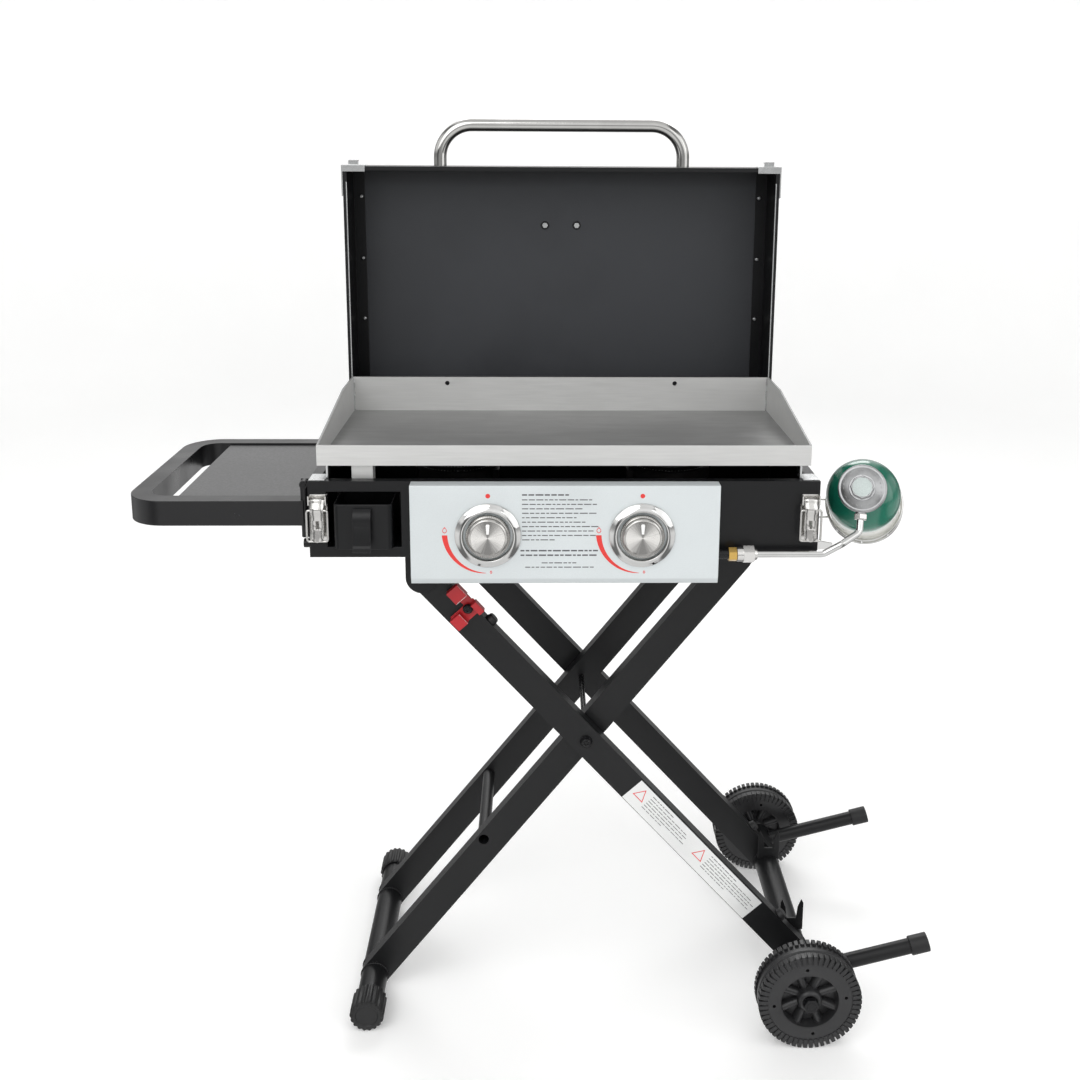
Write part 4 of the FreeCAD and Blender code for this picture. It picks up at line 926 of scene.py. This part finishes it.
def regulator():
    """Die-cast regulator: socket, flanged disc with raised studs, eight-sided cap and outlet nut."""
    tank_start, tank_length = axis_line("gas_cylinder", TANK_WAY)
    base = tank_start + TANK_WAY * (tank_length - 9 * MM)
    place = Matrix.Translation(base) @ tank_turn()
    profile = [
        (13.3, 0), (17.6, 0), (18.4, 0.8), (18.4, 12.8), (19.2, 14.2), (26, 18.4), (28.6, 19.6),
        (30.2, 20.6),
        (31.3, 21.8), (31.5, 23), (31.5, 25.2), (30.9, 25.6), (30.9, 26.2), (31.5, 26.6), (31.4, 28.6),
        (30.6, 29.6), (29.0, 30.2), (27.6, 30.0), (26.6, 30.6), (23.5, 33.0), (19.5, 35.2), (17.2, 36.2),
        (16.8, 37.0), (0, 37.0),
    ]
    bm = lathe(profile, 128)
    for n in range(26):
        turn = Matrix.Rotation(2 * math.pi * n / 26, 4, "Z")
        tilt = Matrix.Rotation(math.radians(34), 4, "Y")
        wide = 2.6 if n % 3 else 1.2
        add_block(bm, (1.5, wide, 0.9), turn @ Matrix.Translation(Vector((24.2, 0, 32.6)) * MM) @ tilt)
    finished(
        "regulator_body", bm, "grill_body", "die_cast", stands_for=["regulator"], bevel=0.25, sharp=38,
        place=place,
    )

    cap = lathe([(0, 36), (15.4, 36), (15.4, 40.4), (14.2, 41.6), (13.2, 41.6), (12.8, 41.2), (0, 41.2)], 8)
    finished("regulator_cap_nut", cap, "grill_body", "die_cast", bevel=0.4, sharp=25, place=place)
    button = lathe([(0, 41.0), (12.2, 41.0), (12.4, 41.6), (11.8, 42.0), (0, 42.0)], 64)
    finished("regulator_cap", button, "grill_body", "die_cast", material=pale_cap, sharp=40, place=place)

    outlet = place @ Matrix.Translation(Vector((0, 0, 22)) * MM) @ Matrix.Rotation(math.pi / 2, 4, "Y")
    stem = lathe([(0, 26), (6.5, 26), (6.5, 33.4), (0, 33.4)], 48)
    finished("regulator_outlet", stem, "grill_body", "die_cast", bevel=0.3, sharp=40, place=outlet)
    nut = lathe([(4.6, 32.6), (8.2, 32.6), (9, 33.6), (9, 39.6), (8.2, 40.5), (4.6, 40.5), (4.6, 32.6)], 6)
    finished(
        "regulator_outlet_nut", closed(nut), "grill_body", "nickel_plate", bevel=0.5, sharp=30,
        place=outlet,
    )


gas_cylinder()
regulator()


# ---------------------------------------------------------------- burners, cup and griddle details

def burner_ports(side):
    """Two rings of small bright flame ports round the top of the burner."""
    node = "burner_" + side
    low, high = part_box(node)
    burner_radius = 58 * MM
    centre_x = low.x + burner_radius if side == "left" else high.x - burner_radius
    centre = Vector((centre_x, joint_place("cart_fold").y, high.z))
    bm = bmesh.new()
    for radius, count, drop in ((46.5, 64, 0.0), (54.0, 76, 3.6)):
        for n in range(count):
            turn = 2 * math.pi * n / count
            spot = Vector((radius * math.cos(turn), radius * math.sin(turn), -0.4 - drop)) * MM
            bmesh.ops.create_icosphere(bm, subdivisions=1, radius=1.0 * MM, matrix=Matrix.Translation(spot))
    place = Matrix.Translation(centre)
    finished(
        node + "_ports", bm, "grill_body", "burner_iron", material=FINISH["zinc_steel"], sharp=60,
        place=place,
    )


def ribbon(bm, path, half_width, thick):
    """A strip of sheet that follows (y, z) points, centred on x = 0; millimetres."""
    count = len(path)
    loops = []
    for n, (y, z) in enumerate(path):
        before, after = path[max(0, n - 1)], path[min(count - 1, n + 1)]
        run = Vector((after[0] - before[0], after[1] - before[1])).normalized()
        side = Vector((-run.y, run.x)) * thick / 2
        corners = []
        for x, sign in ((-half_width, 1), (half_width, 1), (half_width, -1), (-half_width, -1)):
            corners.append(bm.verts.new(Vector((x, y + sign * side.x, z + sign * side.y)) * MM))
        loops.append(corners)
    skin(bm, loops)


def cup_strap():
    """The sprung strap down the cup's front, which is its pull."""
    low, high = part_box("grease_cup")
    front = low.y / MM
    middle_x = (low.x + high.x) / 2
    bottom = low.z / MM
    guides = [
        (2.5, 53.5), (-2.5, 52.5), (-7.5, 49.0), (-10.6, 43.5), (-11.2, 37.0), (-10.6, 30.0), (-10.9, 22.0),
        (-11.9, 14.0), (-13.2, 8.0), (-15.2, 3.6), (-18.6, 1.0),
    ]
    face, foot = front + 20.2, bottom + 2
    path = [(face + y, foot + z) for y, z in guides]
    bm = bmesh.new()
    ribbon(bm, path, 11.6, 1.3)
    finished(
        "cup_strap", bm, "cup", "body_black", bevel=0.4, sharp=50,
        place=Matrix.Translation((middle_x, 0, 0)),
    )


def griddle_welds():
    """Ground weld lines up the griddle's inner rear corners."""
    low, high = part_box("griddle_plate")
    for name, x, sign in (("left", low.x, 1), ("right", high.x, -1)):
        bm = bmesh.new()
        start = Vector((x + sign * 3.0 * MM, high.y - 3.0 * MM, low.z + 5 * MM))
        tall = (high.z - low.z) / MM - 6
        steps = int(tall / 1.1)
        rings = []
        for n in range(steps + 1):
            thick = 1.15 + 0.35 * abs(math.sin(n * 1.3)) + 0.2 * math.sin(n * 0.37)
            ring = []
            for k in range(8):
                turn = 2 * math.pi * k / 8
                ring.append(bm.verts.new(start + Vector((
                    thick * math.cos(turn), thick * math.sin(turn), tall * n / steps
                )) * MM))
            rings.append(ring)
        skin(bm, rings)
        finished(
            f"griddle_weld_{name}", bm, "griddle", "brushed_plate", material=FINISH["zinc_steel"],
            sharp=60,
        )


def stamped_latch(side):
    """Latch lever pressed from sheet: rolled over its pin, slotted, with a round tongue bent outwards."""
    node = "latch_lever_" + side
    low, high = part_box(node)
    pin = joint_place(side + "_latch_lever")
    wire = joint_place(side + "_latch_bail")
    centre = (low.x + high.x) / 2
    half, end = (high.x - low.x) / 2 / MM, (pin.z - low.z) / MM
    ahead = (pin.y - wire.y) / MM
    bend, tongue_radius, lean = -41, 9, 1.9
    slot_top, slot_foot, slot_half = -25, -36, 1.8
    rows = [(3.2 * math.cos(a), 3.2 * math.sin(a)) for a in (math.radians(15 * n) for n in range(-2, 12))]
    rows += [
        (-3.3, -0.5), (-4.6, -4.5), (-ahead - 1.6, -8), (-ahead - 2.2, -11), (-ahead - 1.6, -14),
        (-5.9, -18), (-5.6, -24), (-5.6, slot_top), (-5.6, slot_foot), (-5.7, -38.5), (-6.3, bend),
    ]
    steps = 10
    rows += [(-6.3 - lean * n / steps, bend - (end + bend) * n / steps) for n in range(1, steps + 1)]
    bm = bmesh.new()
    lines = []
    for y, z in rows:
        rise = min(end + z, tongue_radius)
        round_end = math.sqrt(max(0.0, tongue_radius ** 2 - (tongue_radius - rise) ** 2))
        wide = half - 0.3 if z > -8 else min(half - 1.2, max(0.6, round_end))
        slit = min(wide / 2, slot_half)
        lines.append([
            bm.verts.new(Vector((centre + x * MM, pin.y + y * MM, pin.z + z * MM)))
            for x in (-wide, -slit, slit, wide)
        ])
    for (_, z), one, two in zip(rows, lines, lines[1:]):
        for k in range(3):
            if k != 1 or not slot_foot < z <= slot_top:
                bm.faces.new((one[k], one[k + 1], two[k + 1], two[k]))
    piece = finished(node + "_skin", bm, side + "_latch", "latch_steel", stands_for=[node], sharp=50)
    sheet = piece.modifiers.new("Sheet", "SOLIDIFY")
    sheet.thickness = 1.2 * MM
    sheet.offset = 0


def fold_catch():
    """Red stamped catch with white strips along its tabs' edges, which are painted highlights."""
    refined("fold_catch", 0.9)
    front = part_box("fold_catch")[0].y
    screw = joint_place("fold_catch_turn")
    place = Matrix.Translation((screw.x, front, screw.z)) @ leg_turn()
    # painted highlight: thin white strips where the folded tab edges catch the light
    bm = bmesh.new()
    for long, wide, along, over in ((19, 1.8, -26, 13), (1.6, 19, -16.8, 4), (17, 1.8, 5, -13)):
        add_block(bm, (long, 0.5, wide), Matrix.Translation(Vector((along, 0.3, over)) * MM))
    finished(
        "fold_catch_painted_highlights", bm, "fold_catch_lever", "red_paint", material=white_print_and_highlight, bevel=0.2, segments=1,
        sharp=50, place=place,
    )


def bolt_heads():
    """Black domed socket heads on the catch screw and the centre rod."""
    refined("frame_bolts", 0.6)
    profile = [
        (0, 1.6), (2.6, 1.6), (2.9, 3.4), (3.6, 3.9), (5.2, 3.5), (6.3, 2.4), (6.9, 0.9), (7, 0), (0, 0),
    ]
    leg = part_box("outer_leg_front")[0].y
    for name, joint, ahead in (("catch", "fold_catch_turn", 6), ("centre", "leg_scissor", 4)):
        bolt = joint_place(joint)
        place = at(Vector((bolt.x, leg - ahead * MM, bolt.z)), -Y)
        finished(
            "bolt_head_" + name, lathe(profile, 72), "outer_frame", "black_steel", sharp=30, place=place
        )


def lid_trim():
    """Bright strips inside the lid's side rims, which are painted highlights on their edges, and dark
    washers under its badge screws.
    """
    low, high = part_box("lid_sides")
    bm = bmesh.new()
    tall = (high.z - low.z) / MM
    # painted highlight: a bright strip down the inner edge of each side rim
    for x, sign in ((low.x, 1), (high.x, -1)):
        spot = Vector((x + sign * 5.0 * MM, low.y + 0.5 * MM, low.z + (tall / 2 - 8) * MM))
        add_block(bm, (1.7, 1.5, tall - 30), Matrix.Translation(spot))
    finished("lid_painted_edge_highlights", bm, "lid", "zinc_steel", bevel=0.5, sharp=40)
    washers = bmesh.new()
    badge = middle("badge_plate")
    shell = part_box("lid_shell")[1].y - 1.5 * MM
    ring = [(4.0, 0), (6.6, 0), (6.6, 0.8), (6.0, 1.3), (4.9, 1.4), (4.0, 1.2), (4.0, 0)]
    for x in (-25 * MM, 25 * MM):
        join(washers, closed(lathe(ring, 48)), at(Vector((badge.x + x, shell, badge.z)), -Y))
    finished("badge_washers", washers, "lid", "black_steel", sharp=40)


for side in ("left", "right"):
    burner_ports(side)
    stamped_latch(side)
cup_strap()
griddle_welds()
fold_catch()
bolt_heads()
lid_trim()
frame["nodes"]["axle_rod"].data.materials[0] = FINISH["black_steel"]
# painted shade: the latch bases get dark grey plate, darkening the parts round the bright latch
frame["nodes"]["latch_bases"].data.materials[0] = plated("latch_shade", (0.16, 0.16, 0.16), 0.3)


# ---------------------------------------------------------------- floor, light and camera

def bowl_floor():
    """A pale studio floor that curves up into its own backdrop on every side."""
    flat, rim, height = 4200, 5600, 2600
    profile = [(0, 0), (flat, 0)]
    for n in range(1, 13):
        turn = math.radians(90 * n / 12)
        profile.append((flat + (rim - flat) * math.sin(turn), (rim - flat) * (1 - math.cos(turn))))
    profile.append((rim, height))
    bm = lathe(profile, 96)
    mesh = bpy.data.meshes.new("studio_floor")
    bm.to_mesh(mesh)
    bm.free()
    mesh.shade_smooth()
    paper = Finish("studio_paper", (0.92, 0.92, 0.915), 0.8)
    paper.tint(paper.noise(3, 2), (0.915, 0.915, 0.91), (0.93, 0.93, 0.925))
    paper.shader.inputs["Emission Color"].default_value = (1, 1, 1, 1)
    paper.shader.inputs["Emission Strength"].default_value = 0.16
    mesh.materials.append(paper.material)
    made = bpy.data.objects.new("studio_floor", mesh)
    bpy.context.scene.collection.objects.link(made)
    made.visible_glossy = False


def soft_light(name, place, target, size, power):
    lamp = bpy.data.lights.new(name, "AREA")
    lamp.shape = "RECTANGLE"
    lamp.size, lamp.size_y = size
    lamp.energy = power
    made = bpy.data.objects.new(name, lamp)
    made.location = place
    made.rotation_euler = (Vector(target) - Vector(place)).to_track_quat("-Z", "Y").to_euler()
    bpy.context.scene.collection.objects.link(made)


def surroundings():
    """A white room with a dim band at eye level and dim walls to the sides, for metal to mirror."""
    world = bpy.data.worlds.new("studio")
    world.use_nodes = True
    bpy.context.scene.world = world
    tree = world.node_tree
    place = tree.nodes.new("ShaderNodeTexCoord")
    split = tree.nodes.new("ShaderNodeSeparateXYZ")
    tree.links.new(place.outputs["Generated"], split.inputs["Vector"])
    parts = []
    for axis, stops in (
        ("Z", (
            (0.0, 0.75), (0.40, 0.95), (0.47, 0.45), (0.54, 0.30), (0.60, 0.95), (0.80, 1.0), (1.0, 0.7),
        )),
        ("X", (
            (0.0, 0.95), (0.08, 0.9), (0.13, 0.22), (0.22, 0.22), (0.28, 1.0), (0.72, 1.0), (0.78, 0.22),
            (0.87, 0.22), (0.92, 0.9),
        )),
    ):
        shift = tree.nodes.new("ShaderNodeMapRange")
        shift.inputs["From Min"].default_value = -1
        shift.inputs["From Max"].default_value = 1
        ramp = tree.nodes.new("ShaderNodeValToRGB")
        for n, (position, level) in enumerate(stops):
            stop = ramp.color_ramp.elements[n] if n < 2 else ramp.color_ramp.elements.new(position)
            stop.position = position
            stop.color = (level, level, level, 1)
        tree.links.new(split.outputs[axis], shift.inputs["Value"])
        tree.links.new(shift.outputs["Result"], ramp.inputs["Fac"])
        parts.append(ramp.outputs["Color"])
    both = tree.nodes.new("ShaderNodeMix")
    both.data_type = "RGBA"
    both.blend_type = "MULTIPLY"
    both.inputs["Factor"].default_value = 1
    for socket, part in zip(colour_sockets(both.inputs), parts):
        tree.links.new(part, socket)
    back = tree.nodes["Background"]
    tree.links.new(colour_sockets(both.outputs)[0], back.inputs["Color"])
    back.inputs["Strength"].default_value = 1.05


def camera():
    """The camera stands in front of the grill, a little left of its middle, and looks down on it."""
    lens = bpy.data.cameras.new("camera")
    lens.sensor_width = 36
    lens.lens = 40.15
    lens.shift_x = -0.0244
    lens.shift_y = -0.1307
    lens.clip_end = 50
    made = bpy.data.objects.new("camera", lens)
    bpy.context.scene.collection.objects.link(made)
    pitch, yaw, roll = (math.radians(a) for a in (11.97, 1.26, 0.34))
    ahead = Vector((math.sin(yaw) * math.cos(pitch), math.cos(yaw) * math.cos(pitch), -math.sin(pitch)))
    right = Vector((math.cos(yaw), -math.sin(yaw), 0))
    up = right.cross(ahead)
    right, up = right * math.cos(roll) + up * math.sin(roll), up * math.cos(roll) - right * math.sin(roll)
    turn = Matrix((right, up, -ahead)).transposed().to_4x4()
    stand = Vector((-0.0083, -1.6711, 1.2156))
    made.matrix_world = Matrix.Translation(stand) @ turn
    bpy.context.scene.camera = made


bowl_floor()
surroundings()
soft_light("key", (-1.6, -2.2, 2.9), (0, 0, 0.75), (2.8, 2.8), 42)
soft_light("fill", (2.4, -1.6, 1.8), (0, 0, 0.6), (2.4, 2.4), 20)
soft_light("rim", (0.3, 2.4, 2.6), (0, 0, 0.8), (2.2, 1.0), 26)
camera()
bpy.context.scene.view_settings.view_transform = "Standard"
